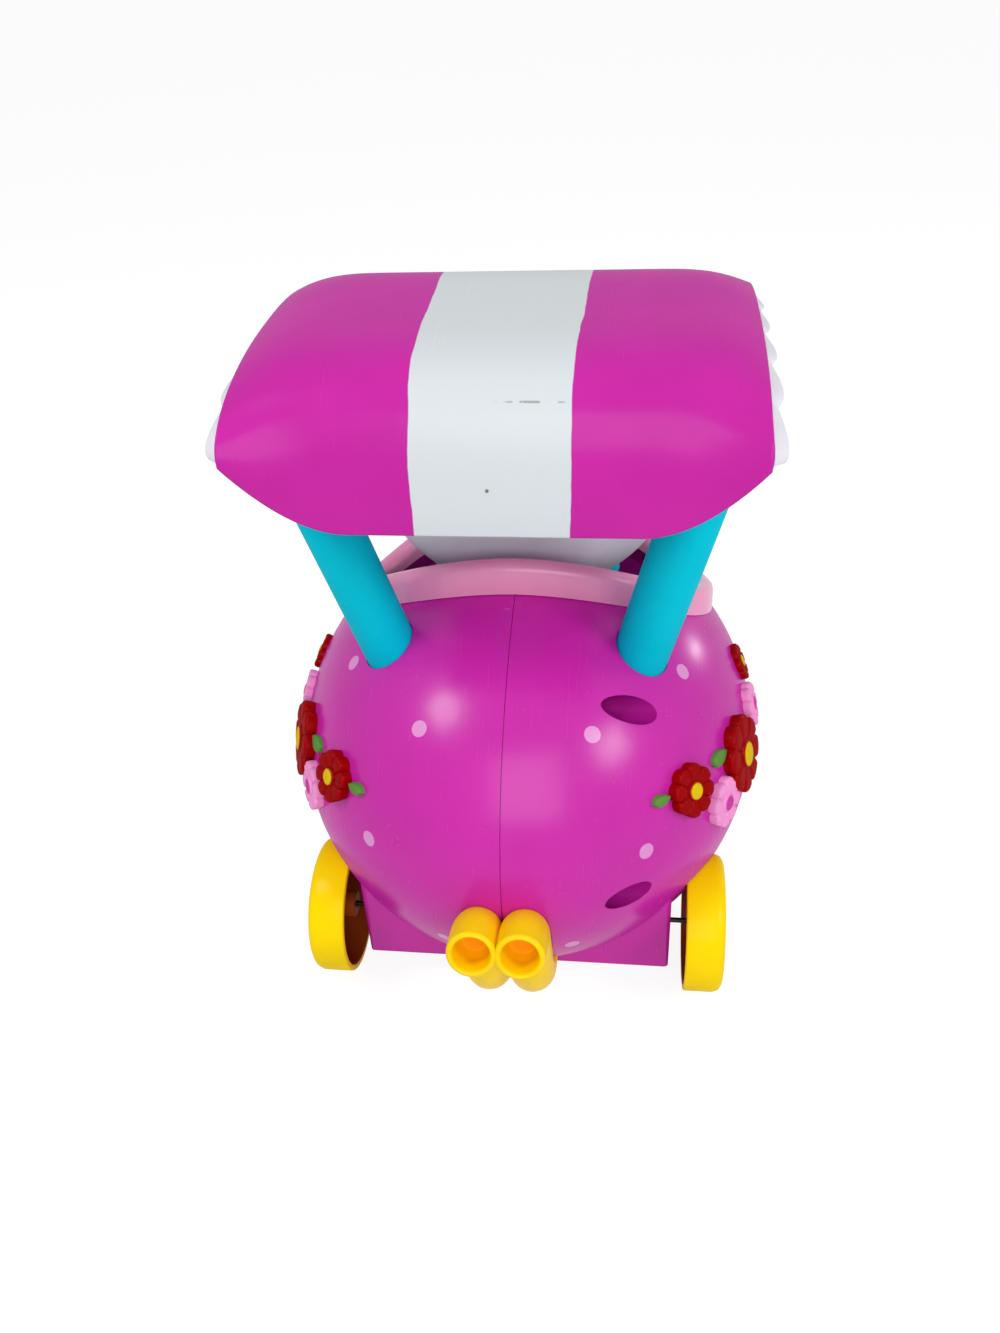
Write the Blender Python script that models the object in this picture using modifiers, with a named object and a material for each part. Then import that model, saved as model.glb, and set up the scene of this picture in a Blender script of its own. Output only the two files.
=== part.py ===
"""Doll-size battery car: a ball-shaped body on four wheels, with a canopy on two posts.

Metres, +Z up. The car stands on the ground at z = 0 and faces +Y, so its right side is +X.
It is built round the middle of the body, then set with the middle of its whole box over the origin.
"""
import math

import bmesh
import bpy
from mathutils import Matrix, Vector

MM = 0.001

# Clearances and walls
GAP = 0.3 * MM
RUNNING_GAP = 0.4 * MM
SHELL_WALL = 2.5 * MM
TUB_WALL = 2.0 * MM
CANOPY_WALL = 2.2 * MM

# Body: a ball drawn out lengthwise, flat underneath, with a square skirt round the chassis
BODY_HALF_WIDTH = 90.0 * MM
BODY_HALF_LENGTH = 102.7 * MM
BODY_HALF_HEIGHT = 82.2 * MM
BODY_TAPER = 0.035
UNDERSIDE_Z = 12.7 * MM
UNDERSIDE_SHARE = 0.71411
BODY_CENTRE_Z = UNDERSIDE_Z + BODY_HALF_HEIGHT * UNDERSIDE_SHARE
BODY_TOP_Z = BODY_CENTRE_Z + BODY_HALF_HEIGHT
SKIRT_SHARE = 0.71276
SKIRT_HALF_LENGTH = BODY_HALF_LENGTH * SKIRT_SHARE
SKIRT_CORNER = 1.6 * MM
BALL_SEGMENTS = 40
BALL_RINGS = 20
HOLLOW_SEGMENTS = 28
HOLLOW_RINGS = 14

# Wheels and axles
WHEEL_RADIUS = 26.2 * MM
WHEEL_WIDTH = 14.4 * MM
WHEEL_TRACK_SHARE = 0.71556
WHEEL_INNER_X = BODY_HALF_WIDTH * WHEEL_TRACK_SHARE
WHEEL_RIM = 2.6 * MM
WHEEL_WEB = 2.4 * MM
WHEEL_HUB_RADIUS = 5.2 * MM
WHEEL_SHOULDER = 2.8 * MM
WHEEL_DISH = 1.44 * MM
DISH_INNER_SHARE = 0.72
DISH_OUTER_SHARE = 0.78
HUB_SET_BACK = 1.0 * MM
WHEEL_SIDES = 26
AXLE_INSET = 12.0 * MM
AXLE_Y = SKIRT_HALF_LENGTH - AXLE_INSET
AXLE_RADIUS = 1.0 * MM
AXLE_SHOWN = 5.6 * MM
WELL_CLEARANCE = 0.8 * MM
SKIRT_HALF_WIDTH = WHEEL_INNER_X - AXLE_SHOWN

# Cockpit opening and its rim, a superellipse seen from above
COCKPIT_Y = 30.0 * MM
COCKPIT_WIDTH_SHARE = 0.81111
COCKPIT_HALF_WIDTH = BODY_HALF_WIDTH * COCKPIT_WIDTH_SHARE
COCKPIT_REAR = 54.5 * MM
COCKPIT_FRONT = 40.0 * MM
COCKPIT_EXPONENT = 2.5
RIM_WIDTH = 8.0 * MM
RIM_HEIGHT = 12.0 * MM
RIM_LAND = 3.0 * MM
RIM_SEAT = 0.5 * MM
RIM_SIDES = 38
TUB_DEPTH = 75.6 * MM
TUB_FLOOR_Z = BODY_TOP_Z - TUB_DEPTH
TUB_TAPER = 9.0 * MM

# Seat, a white bucket on a teal foot
SEAT_SET_BACK = 12.0 * MM
SEAT_Y = COCKPIT_Y - SEAT_SET_BACK
SEAT_RISE = 33.4 * MM
SEAT_Z = BODY_TOP_Z + SEAT_RISE
SEAT_HALF_WIDTH = 58.0 * MM
SEAT_HALF_DEPTH = 30.0 * MM
SEAT_HALF_HEIGHT = 58.0 * MM
SEAT_WALL = 2.4 * MM
SEAT_FRONT_DROP = 15.6 * MM
SEAT_FRONT_Z = BODY_TOP_Z - SEAT_FRONT_DROP
SEAT_BACK_RISE = 24.4 * MM
SEAT_BACK_Z = BODY_TOP_Z + SEAT_BACK_RISE
SEAT_FRONT_SHARE = 0.1
SEAT_BACK_SHARE = -0.55
SEAT_FOOT = (20.0 * MM, 14.0 * MM)
SEAT_CUP = (36.0 * MM, 19.0 * MM)
SEAT_CUP_Z = SEAT_FRONT_Z

# Dashboard and steering
DASH_SHARE = 0.6
DASH_Y = COCKPIT_Y + COCKPIT_FRONT * DASH_SHARE
DASH_DROP = 21.6 * MM
DASH_TOP_Z = BODY_TOP_Z - DASH_DROP
DASH_DEPTH = 26.0 * MM
DASH_ROUNDING = 2.0 * MM
STEERING_RADIUS = 13.0 * MM
STEERING_GRIP = 2.2 * MM
STEERING_HUB_RADIUS = 4.6 * MM
STEERING_HUB_HEIGHT = 4.0 * MM
SPOKE_RADIUS = 1.5 * MM
SPOKES = 3
STEERING_TILT = math.radians(38.0)
COLUMN_RADIUS = 2.2 * MM
COLUMN_SHOWN = 10.0 * MM
COLUMN_SUNK = 6.0 * MM

# Posts
POST_WIDTH_SHARE = 0.50667
POST_LENGTH_SHARE = 0.33788
POST_FOOT_X = BODY_HALF_WIDTH * POST_WIDTH_SHARE
POST_FOOT_Y = -BODY_HALF_LENGTH * POST_LENGTH_SHARE
POST_TILT_OUT = math.radians(13.874)
POST_TILT_BACK = math.radians(6.447)
POST_RADIUS = 9.8 * MM
POST_RISE = 60.4 * MM
POST_TOP_Z = BODY_TOP_Z + POST_RISE
POST_SUNK = 22.0 * MM
SPIGOT_RADIUS = 5.0 * MM
SPIGOT_HEIGHT = 14.0 * MM
SOCKET_WALL = 2.0 * MM

# Canopy, a bent sheet: deep in the middle, a low arch at each end
CANOPY_Y = -10.0 * MM
CANOPY_WIDTH_SHARE = 0.87778
CANOPY_HALF_WIDTH = BODY_HALF_WIDTH * CANOPY_WIDTH_SHARE
CANOPY_HALF_DEPTH = 63.5 * MM
CANOPY_LIP_RISE = 50.0 * MM
CANOPY_LIP_Z = BODY_TOP_Z + CANOPY_LIP_RISE
CANOPY_HEIGHT = 47.4 * MM
CANOPY_EXPONENT = 4.5
CANOPY_SLANT = 0.12
END_HALF_DEPTH = 65.0 * MM
END_LIP_RISE = 72.4 * MM
END_LIP_Z = BODY_TOP_Z + END_LIP_RISE
END_HEIGHT = 20.0 * MM
END_EXPONENT = 2.3
END_REACH = 35.0 * MM
END_START = CANOPY_HALF_WIDTH - END_REACH
END_BLEND = 1.9
CROWN_BLEND = 1.8
END_STEPS = 6
FRILL_FLARE = 3.2 * MM
FRILL_PLEAT = 2.2 * MM
FRILL_DROP = 2.6 * MM
FRILL_WALL = 1.3 * MM
FRILL_ROOM = 0.6 * MM
FRILL_TUCK = 0.6
FRILL_PLEATS = 6
PLEAT_SKEW = 0.6
FRILL_STEPS = 2

# Twin exhaust: the pipes' centre line, as shares of the body's half length and of the way up
# from its underside to its middle
PIPE_RADIUS = 8.5 * MM
PIPE_BORE_RADIUS = 6.3 * MM
PIPE_X = 8.1 * MM
PIPE_BORE_DEPTH = 20.0 * MM
PIPE_SLOT_SHARE = 0.3
PIPE_ROUTE = (
    (-0.71568, 0.20784),
    (-0.81792, 0.18739),
    (-0.92016, 0.40204),
    (-0.97858, 0.70869),
    (-1.06134, 0.91993),
    (-1.19279, 1.05281),
)

# Screws that hold the body halves together: places as shares of the body's half length and height
BODY_SCREWS = (
    ("rear_upper", -0.55891, 0.67883),
    ("rear_lower", -0.87244, -0.01217),
    ("front", 0.87244, -0.01217),
)
RECESS_RADIUS = 4.9 * MM
RECESS_WALL = 2.0 * MM
RECESS_FLOOR_X = 9.0 * MM
BOSS_RADIUS = 4.5 * MM
PAST_SURFACE = 1.3
SCREW_RADIUS = 1.3 * MM
SCREW_HEAD_RADIUS = 2.8 * MM
SCREW_HEAD_HEIGHT = 1.8 * MM
SCREW_GRIP = 9.0 * MM

# Chassis pan and what it carries
PAN_THICKNESS = 2.2 * MM
PAN_RECESS = 0.3 * MM
BEARING_INSET = 8.8 * MM
BEARING_X = SKIRT_HALF_WIDTH - BEARING_INSET
BEARING_THICKNESS = 4.0 * MM
BEARING_WIDTH = 11.0 * MM
BEARING_RISE = 5.0 * MM
CELL_RADIUS = 7.1 * MM
CELL_LENGTH = 49.0 * MM
CELL_PITCH = 15.0 * MM
CELL_COUNT = 3
CELL_BUTTON_RADIUS = 2.7 * MM
CELL_BUTTON_HEIGHT = 1.0 * MM
CELLS_Y = 14.0 * MM
BATTERY_WALL = 1.6 * MM
CONTACT_THICKNESS = 0.8 * MM
CONTACT_WIDTH = 9.0 * MM
DOOR_THICKNESS = 1.8 * MM
DOOR_GAP = 0.5 * MM
DOOR_TAB_WIDTH = 8.0 * MM
DOOR_TAB_LENGTH = 3.0 * MM
DOOR_TAB_THICKNESS = 1.2 * MM
DOOR_LUG = 9.0 * MM
LUG_BOSS_HEIGHT = 12.9 * MM
DOOR_SCREW_DEPTH = 10.9 * MM
DOOR_SCREW_PLAY = 0.8 * MM
DOOR_SINK = 1.1 * MM
SWITCH_INSET = 16.8 * MM
SWITCH_X = SKIRT_HALF_WIDTH - SWITCH_INSET
SWITCH_Y = 14.0 * MM
SWITCH_TRAVEL = 4.0 * MM
SWITCH_KNOB = 4.0 * MM
SWITCH_KNOB_DROP = 1.5 * MM
SWITCH_BODY = (10.0 * MM, 16.0 * MM, 6.0 * MM)

# Gear train: motor pinion, compound gear, axle gear
GEAR_MODULE = 0.85 * MM
PINION_TEETH = 9
GEAR_TEETH = 20
GEAR_WIDTH = 4.0 * MM
PINION_WIDTH = 5.0 * MM
TOOTH_ADDENDUM = 0.6
TOOTH_DEDENDUM = 0.95
TOOTH_ROOT_SHARE = 0.46
TOOTH_TIP_SHARE = 0.22
ARBOR_RADIUS = 1.2 * MM
COMPOUND_ANGLE = math.radians(25.0)
PINION_ANGLE = math.radians(0.0)
CHEEK_THICKNESS = 2.0 * MM
CHEEK_LEFT_X = 1.2 * MM
MOTOR_LENGTH = 25.0 * MM
MOTOR_RADIUS = 10.0 * MM
MOTOR_FLAT = 7.5 * MM
MOTOR_SHAFT_RADIUS = 1.0 * MM

# Flowers and leaves on each side: name, place as shares of the body's half length and half height,
# radius, thickness and, for a flower, its finish
FLOWERS = (
    ("flower_large_red", -0.34567, 0.23236, 14.5 * MM, 4.5 * MM, "red"),
    ("flower_small_red", -0.63778, 0.33577, 9.4 * MM, 4.5 * MM, "red"),
    ("flower_lower_pink", -0.52580, 0.14720, 9.4 * MM, 3.5 * MM, "pale_pink"),
    ("flower_upper_pink", -0.08763, 0.26277, 8.6 * MM, 3.2 * MM, "pale_pink"),
    ("flower_top_red", 0.03895, 0.39051, 7.4 * MM, 2.4 * MM, "red"),
)
LEAVES = (
    ("leaf_small", -0.72639, 0.36983, 3.2 * MM, 2.5 * MM),
    ("leaf_large", -0.47712, 0.34185, 4.4 * MM, 2.0 * MM),
)
PETALS = 8
PETAL_DEPTH = 0.16
PETAL_POINTS = 4
FLOWER_DRAFT = 0.95
FLOWER_FLAT = 0.45
FLOWER_SUNK = 2.5
FLOWER_ROOM = 1.6

# Colours seen in the photograph: sRGB, roughness, metallic
COLOURS = {
    "magenta": ((0.78, 0.13, 0.64), 0.38, 0.0),
    "deep_magenta": ((0.55, 0.02, 0.42), 0.45, 0.0),
    "rim_pink": ((0.90, 0.52, 0.70), 0.40, 0.0),
    "teal": ((0.00, 0.71, 0.80), 0.40, 0.0),
    "yellow": ((1.00, 0.80, 0.00), 0.38, 0.0),
    "white": ((0.87, 0.90, 0.91), 0.42, 0.0),
    "seat_white": ((0.80, 0.80, 0.84), 0.40, 0.0),
    "red": ((0.70, 0.04, 0.05), 0.40, 0.0),
    "pale_pink": ((0.95, 0.62, 0.83), 0.42, 0.0),
    "leaf_green": ((0.35, 0.54, 0.22), 0.45, 0.0),
    "steel": ((0.62, 0.62, 0.63), 0.30, 1.0),
    "black": ((0.06, 0.06, 0.06), 0.50, 0.0),
    "grey": ((0.55, 0.56, 0.58), 0.50, 0.0),
    "nylon": ((0.90, 0.89, 0.84), 0.45, 0.0),
    "cell_wrap": ((0.12, 0.30, 0.16), 0.45, 0.0),
}


def collection(name):
    """New collection, linked to the scene."""
    group = bpy.data.collections.new(name)
    bpy.context.scene.collection.children.link(group)
    return group


def clear_scene():
    """Removes every object of the scene."""
    for obj in list(bpy.data.objects):
        bpy.data.objects.remove(obj, do_unlink=True)


clear_scene()
PARTS = collection("toy_car")
CUTTERS = collection("cutters")


def linear(value):
    """Linear light of one sRGB channel."""
    if value <= 0.04045:
        return value / 12.92
    return ((value + 0.055) / 1.055) ** 2.4


def finish(name):
    """The material of that name, made once."""
    ready = bpy.data.materials.get(name)
    if ready:
        return ready
    colour, roughness, metallic = COLOURS[name]
    mat = bpy.data.materials.new(name)
    mat.use_nodes = True
    shader = mat.node_tree.nodes["Principled BSDF"]
    shader.inputs["Base Color"].default_value = [linear(c) for c in colour] + [1.0]
    shader.inputs["Roughness"].default_value = roughness
    shader.inputs["Metallic"].default_value = metallic
    return mat


# Objects and Booleans

def add_object(name, mesh, colour=None):
    """Part with that colour, or a cutter where no colour is given."""
    obj = bpy.data.objects.new(name, mesh)
    if colour is None:
        CUTTERS.objects.link(obj)
        obj.hide_render = True
        obj.display_type = "WIRE"
        return obj
    PARTS.objects.link(obj)
    mesh.materials.append(finish(colour))
    mesh.shade_smooth()
    mesh.set_sharp_from_angle(angle=math.radians(35.0))
    return obj


def from_bmesh(name, bm, colour=None):
    """Object of a bmesh, which is freed."""
    mesh = bpy.data.meshes.new(name)
    bm.to_mesh(mesh)
    bm.free()
    return add_object(name, mesh, colour)


def boolean(obj, cutter, operation="DIFFERENCE"):
    """Cuts, joins or keeps the common part of obj and cutter."""
    modifier = obj.modifiers.new(cutter.name, "BOOLEAN")
    modifier.operation = operation
    modifier.solver = "EXACT"
    modifier.object = cutter
    return obj


def fixed_mesh(obj):
    """Mesh of the object with its modifiers applied."""
    bpy.context.view_layer.update()
    graph = bpy.context.evaluated_depsgraph_get()
    return bpy.data.meshes.new_from_object(obj.evaluated_get(graph))


def freeze(obj):
    """Makes the object's modifiers part of its own mesh."""
    mesh = fixed_mesh(obj)
    obj.modifiers.clear()
    obj.data = mesh
    return obj


def move_origin(obj, point):
    """Puts the origin on the point and leaves the mesh where it is."""
    shift = Vector(point) - obj.location
    obj.data.transform(Matrix.Translation(-shift))
    obj.location = point
    return obj


# Basic solids

def block(name, low, high, colour=None, bevel=0.0):
    """Box between two corners, with its edges rounded where bevel is given."""
    bm = bmesh.new()
    bmesh.ops.create_cube(bm, size=1.0)
    low = Vector(low)
    high = Vector(high)
    bmesh.ops.scale(bm, vec=high - low, verts=bm.verts)
    bmesh.ops.translate(bm, vec=(high + low) / 2, verts=bm.verts)
    if bevel > 0.0:
        bmesh.ops.bevel(bm, geom=bm.edges[:], offset=bevel, segments=2, profile=0.5,
                        affect="EDGES", clamp_overlap=True)
    return from_bmesh(name, bm, colour)


def add_rod(bm, start, end, radius, sides):
    """Adds a cylinder between two points to a bmesh."""
    start = Vector(start)
    axis = Vector(end) - start
    turn = axis.to_track_quat("Z", "Y").to_matrix().to_4x4()
    place = Matrix.Translation(start + axis / 2) @ turn
    bmesh.ops.create_cone(bm, cap_ends=True, segments=sides, radius1=radius, radius2=radius,
                          depth=axis.length, matrix=place)


def rod(name, start, end, radius, sides, colour=None):
    """Cylinder between two points."""
    bm = bmesh.new()
    add_rod(bm, start, end, radius, sides)
    return from_bmesh(name, bm, colour)


def turned(name, profile, centre, sides, colour=None, axis="Z"):
    """Profile of (radius, height) turned round its axis; it runs down the outer side."""
    mesh = bpy.data.meshes.new(name)
    points = [(radius, 0.0, height) for radius, height in profile]
    edges = [(i, i + 1) for i in range(len(points) - 1)]
    mesh.from_pydata(points, edges, [])
    obj = add_object(name, mesh, colour)
    screw = obj.modifiers.new("Turn", "SCREW")
    screw.steps = sides
    screw.render_steps = sides
    screw.use_merge_vertices = True
    screw.merge_threshold = 0.00001
    screw.use_smooth_shade = True
    if axis == "X":
        obj.rotation_euler = (0.0, math.pi / 2, 0.0)
    if axis == "-X":
        obj.rotation_euler = (0.0, -math.pi / 2, 0.0)
    obj.location = centre
    return obj


def loft(name, rings, colour=None, wrap=False):
    """Solid through rings of points; wrap joins the last ring to the first."""
    bm = bmesh.new()
    loops = [[bm.verts.new(point) for point in ring] for ring in rings]
    pairs = list(zip(loops, loops[1:]))
    if wrap:
        pairs.append((loops[-1], loops[0]))
    for lower, upper in pairs:
        for i in range(len(lower)):
            j = (i + 1) % len(lower)
            bm.faces.new((lower[i], lower[j], upper[j], upper[i]))
    if not wrap:
        bm.faces.new(loops[0])
        bm.faces.new(loops[-1])
    bmesh.ops.recalc_face_normals(bm, faces=bm.faces)
    return from_bmesh(name, bm, colour)


def thicken(obj, thickness):
    """Gives an open sheet its wall, on the side away from its normals."""
    solid = obj.modifiers.new("Wall", "SOLIDIFY")
    solid.thickness = thickness
    solid.offset = -1.0
    solid.use_even_offset = True
    return obj


def signed_power(value, power):
    """Power of the absolute value, with the value's sign."""
    return math.copysign(abs(value) ** power, value)


# Body

def ball_top(x, y):
    """Height of the ball's upper surface over a point of the plan."""
    share = (x / BODY_HALF_WIDTH) ** 2 + (y / BODY_HALF_LENGTH) ** 2
    return BODY_CENTRE_Z + BODY_HALF_HEIGHT * math.sqrt(max(0.0, 1.0 - share))


def ball_side(along, up):
    """Point of the ball's right side, from shares of its half length and half height."""
    x = BODY_HALF_WIDTH * math.sqrt(max(0.0, 1.0 - along ** 2 - up ** 2))
    return Vector((x, BODY_HALF_LENGTH * along, BODY_CENTRE_Z + BODY_HALF_HEIGHT * up))


def ball(name, grow=0.0, segments=BALL_SEGMENTS, rings=BALL_RINGS):
    """Ball whose surface lies out by grow; its lower half draws in a little."""
    bm = bmesh.new()
    bmesh.ops.create_uvsphere(bm, u_segments=segments, v_segments=rings, radius=1.0)
    size = (BODY_HALF_WIDTH + grow, BODY_HALF_LENGTH + grow, BODY_HALF_HEIGHT + grow)
    bmesh.ops.scale(bm, vec=size, verts=bm.verts)
    for vert in bm.verts:
        drop = max(0.0, -vert.co.z / BODY_HALF_HEIGHT)
        vert.co.x *= 1.0 - BODY_TAPER * drop
        vert.co.y *= 1.0 - BODY_TAPER * drop
    bmesh.ops.translate(bm, vec=(0.0, 0.0, BODY_CENTRE_Z), verts=bm.verts)
    return from_bmesh(name, bm)


def skirt_top():
    """Height where the skirt's corner comes out of the ball."""
    share = (SKIRT_HALF_WIDTH / BODY_HALF_WIDTH) ** 2 + (SKIRT_HALF_LENGTH / BODY_HALF_LENGTH) ** 2
    return BODY_CENTRE_Z - BODY_HALF_HEIGHT * math.sqrt(max(0.04, 1.0 - share))


def skirt(name, inset, low, high, colour=None):
    """Block inside the square skirt by inset, with rounded upright corners."""
    width = 2 * (SKIRT_HALF_WIDTH - inset)
    length = 2 * (SKIRT_HALF_LENGTH - inset)
    bm = bmesh.new()
    bmesh.ops.create_cube(bm, size=1.0)
    bmesh.ops.scale(bm, vec=(width, length, high - low), verts=bm.verts)
    bmesh.ops.translate(bm, vec=(0.0, 0.0, (high + low) / 2), verts=bm.verts)
    upright = [e for e in bm.edges if abs(e.verts[0].co.z - e.verts[1].co.z) > GAP]
    bmesh.ops.bevel(bm, geom=upright, offset=SKIRT_CORNER, segments=2, profile=0.5, affect="EDGES")
    return from_bmesh(name, bm, colour)


def wheel_places():
    """Name, side and place ahead of each wheel."""
    return [(f"wheel_{end}_{side}", sign, y)
            for end, y in (("rear", -AXLE_Y), ("front", AXLE_Y))
            for side, sign in (("left", -1.0), ("right", 1.0))]


def add_wells(bm, grow):
    """Adds the room round each wheel to a bmesh, larger by grow."""
    reach = WHEEL_INNER_X + 2 * WHEEL_WIDTH
    for _, sign, y in wheel_places():
        start = (sign * (WHEEL_INNER_X - WELL_CLEARANCE - grow), y, WHEEL_RADIUS)
        end = (sign * reach, y, WHEEL_RADIUS)
        add_rod(bm, start, end, WHEEL_RADIUS + WELL_CLEARANCE + grow, WHEEL_SIDES)


def wells(name, grow):
    """The room round the wheels as a cutter."""
    bm = bmesh.new()
    add_wells(bm, grow)
    return from_bmesh(name, bm)


def post_point(sign, z):
    """Point of a post's centre line at a height."""
    foot = ball_top(POST_FOOT_X, POST_FOOT_Y)
    rise = z - foot
    return Vector((sign * (POST_FOOT_X + math.tan(POST_TILT_OUT) * rise),
                   POST_FOOT_Y - math.tan(POST_TILT_BACK) * rise, z))


def post_sockets(name, grow, depth):
    """Bores for both posts, wider by grow and sunk by depth below the body's surface."""
    foot = ball_top(POST_FOOT_X, POST_FOOT_Y)
    bm = bmesh.new()
    for sign in (-1.0, 1.0):
        add_rod(bm, post_point(sign, foot - depth), post_point(sign, foot + POST_RADIUS * 3),
                POST_RADIUS + grow, 20)
    return from_bmesh(name, bm)


def screw_rods(name, sign, radius, start_x):
    """Rods along X at the body screws, from start_x out past the ball's surface."""
    bm = bmesh.new()
    for _, along, up in BODY_SCREWS:
        x, y, z = ball_side(along, up)
        end_x = x * PAST_SURFACE
        add_rod(bm, (sign * start_x, y, z), (sign * end_x, y, z), radius, 20)
    return from_bmesh(name, bm)


def half_space(name, sign):
    """Everything on one side of the seam, less half of the seam's gap."""
    reach = 2 * BODY_HALF_LENGTH
    inner = sign * GAP / 2
    outer = sign * reach
    low = (min(inner, outer), -reach, 0.0)
    high = (max(inner, outer), reach, 2 * reach)
    return block(name, low, high)


def body_outer():
    """The body's outer form as one solid."""
    outer = ball("body outer form")
    size = 2 * BODY_HALF_LENGTH
    boolean(outer, block("below the body", (-size, -size, -size), (size, size, UNDERSIDE_Z)))
    boolean(outer, skirt("skirt form", 0.0, UNDERSIDE_Z, skirt_top()), "UNION")
    boolean(outer, wells("wheel wells", 0.0))
    return outer


def body_hollow():
    """The room inside the body shells; bosses and wells stand into it."""
    hollow = ball("body hollow", -SHELL_WALL, HOLLOW_SEGMENTS, HOLLOW_RINGS)
    size = 2 * BODY_HALF_LENGTH
    low = (-size, -size, -size)
    boolean(hollow, block("below the hollow", low, (size, size, UNDERSIDE_Z + SHELL_WALL)))
    room = skirt("skirt hollow", SHELL_WALL, UNDERSIDE_Z - SHELL_WALL, skirt_top() - SHELL_WALL)
    boolean(hollow, room, "UNION")
    boolean(hollow, wells("wheel well walls", SHELL_WALL))
    boolean(hollow, post_sockets("post sleeves", SOCKET_WALL + GAP, POST_SUNK + SOCKET_WALL))
    boolean(hollow, screw_rods("recess walls", 1.0, RECESS_RADIUS + RECESS_WALL, 0.0))
    boolean(hollow, screw_rods("boss walls", -1.0, BOSS_RADIUS, 0.0))
    return hollow


def make_body():
    """Left and right body shells."""
    shell = body_outer()
    boolean(shell, body_hollow())
    boolean(shell, cockpit_prism("cockpit opening", -RIM_LAND))
    boolean(shell, post_sockets("post bores", GAP, POST_SUNK + GAP))
    boolean(shell, axle_bores("axle holes", WHEEL_INNER_X))
    freeze(shell)
    cuts = [add_object(f"exhaust opening {sign:.0f}", pipe_tube("opening", sign, PIPE_RADIUS + GAP, GAP))
            for sign in (-1.0, 1.0)]
    cuts.append(exhaust_slot())
    cuts.append(screw_rods("screw holes", 1.0, SCREW_RADIUS + GAP, -SCREW_GRIP * 2))
    recess = screw_rods("screw recesses", 1.0, RECESS_RADIUS, RECESS_FLOOR_X)
    for name, sign in (("body_left_shell", -1.0), ("body_right_shell", 1.0)):
        half = add_object(name, shell.data.copy(), "magenta")
        boolean(half, half_space(name + " side", sign), "INTERSECT")
        for cut in cuts:
            boolean(half, cut)
        if sign > 0:
            boolean(half, recess)
        half.data.shade_smooth()


def axle_bores(name, reach):
    """Bores for both axles."""
    bm = bmesh.new()
    for y in (-AXLE_Y, AXLE_Y):
        add_rod(bm, (-reach, y, WHEEL_RADIUS), (reach, y, WHEEL_RADIUS),
                AXLE_RADIUS + RUNNING_GAP, 12)
    return from_bmesh(name, bm)


def make_body_screws():
    """One screw at the bottom of each recess."""
    for name, along, up in BODY_SCREWS:
        _, y, z = ball_side(along, up)
        seat = RECESS_FLOOR_X + GAP
        bm = bmesh.new()
        add_rod(bm, (seat, y, z), (seat + SCREW_HEAD_HEIGHT, y, z), SCREW_HEAD_RADIUS, 12)
        screw = from_bmesh(f"body_screw_{name}", bm, "steel")
        shank = rod(name + " shank", (-SCREW_GRIP, y, z), (seat + SCREW_HEAD_HEIGHT / 2, y, z),
                    SCREW_RADIUS, 8)
        boolean(screw, shank, "UNION")


# Cockpit

def cockpit_point(angle, offset):
    """Plan point of the cockpit's outline, moved outward by offset."""
    depth = COCKPIT_REAR if math.sin(angle) < 0 else COCKPIT_FRONT
    power = 2.0 / COCKPIT_EXPONENT
    x = (COCKPIT_HALF_WIDTH + offset) * signed_power(math.cos(angle), power)
    y = COCKPIT_Y + (depth + offset) * signed_power(math.sin(angle), power)
    return x, y


def cockpit_angles():
    """Angles round the cockpit."""
    return [math.tau * i / RIM_SIDES for i in range(RIM_SIDES)]


def cockpit_prism(name, offset):
    """Upright prism through the cockpit's outline."""
    top = BODY_CENTRE_Z + 2 * BODY_HALF_HEIGHT
    rings = []
    for z in (BODY_CENTRE_Z, top):
        rings.append([(*cockpit_point(angle, offset), z) for angle in cockpit_angles()])
    return loft(name, rings)


def rim_section(angle):
    """Cross-section of the rim: it follows the ball outside and stands on the tub inside."""
    foot = ball_top(*cockpit_point(angle, 0.0)) + RIM_SEAT
    land = ball_top(*cockpit_point(angle, -RIM_LAND)) + RIM_SEAT
    radius = RIM_WIDTH / 2
    shoulder = foot + RIM_HEIGHT - radius
    section = [(0.0, foot), (0.0, shoulder)]
    for step in (1, 2, 3):
        turn = math.pi * step / 4
        section.append((-radius + radius * math.cos(turn), shoulder + radius * math.sin(turn)))
    section += [(-RIM_WIDTH, shoulder), (-RIM_WIDTH, land), (-RIM_LAND, land)]
    return [(*cockpit_point(angle, offset), z) for offset, z in section]


def make_rim():
    """Pink rim round the cockpit."""
    loft("cockpit_rim", [rim_section(angle) for angle in cockpit_angles()], "rim_pink", wrap=True)


def tub_rings(offset):
    """Rings of the tub's inner face from its edge down to its floor, moved in by offset."""
    edge = -RIM_LAND - GAP - TUB_WALL - offset
    steps = ((0.0, 0.0), (0.45, 0.35), (0.85, 0.8), (0.97, 1.0), (1.0, 1.45))
    rings = []
    for drop, taper in steps:
        ring = []
        for angle in cockpit_angles():
            top = ball_top(*cockpit_point(angle, -RIM_LAND))
            floor = TUB_FLOOR_Z + offset
            z = top + (floor - top) * drop
            ring.append((*cockpit_point(angle, edge - TUB_TAPER * taper), z))
        rings.append(ring)
    return rings


def make_tub():
    """Cockpit liner: a tub of even wall, open at the top."""
    rings = tub_rings(0.0)
    bm = bmesh.new()
    loops = [[bm.verts.new(point) for point in ring] for ring in rings]
    for upper, lower in zip(loops, loops[1:]):
        for i in range(RIM_SIDES):
            j = (i + 1) % RIM_SIDES
            bm.faces.new((upper[i], upper[j], lower[j], lower[i]))
    bm.faces.new(loops[-1])
    tub = from_bmesh("cockpit_tub", bm, "deep_magenta")
    thicken(tub, TUB_WALL)


def tub_room():
    """Solid that fills the tub with a gap all round and stands out above it."""
    rings = tub_rings(GAP)[:-1]
    top = BODY_CENTRE_Z + 2 * BODY_HALF_HEIGHT
    rings[0] = [(x, y, top) for x, y, _ in rings[0]]
    return loft("tub room", rings)


# Seat

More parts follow.
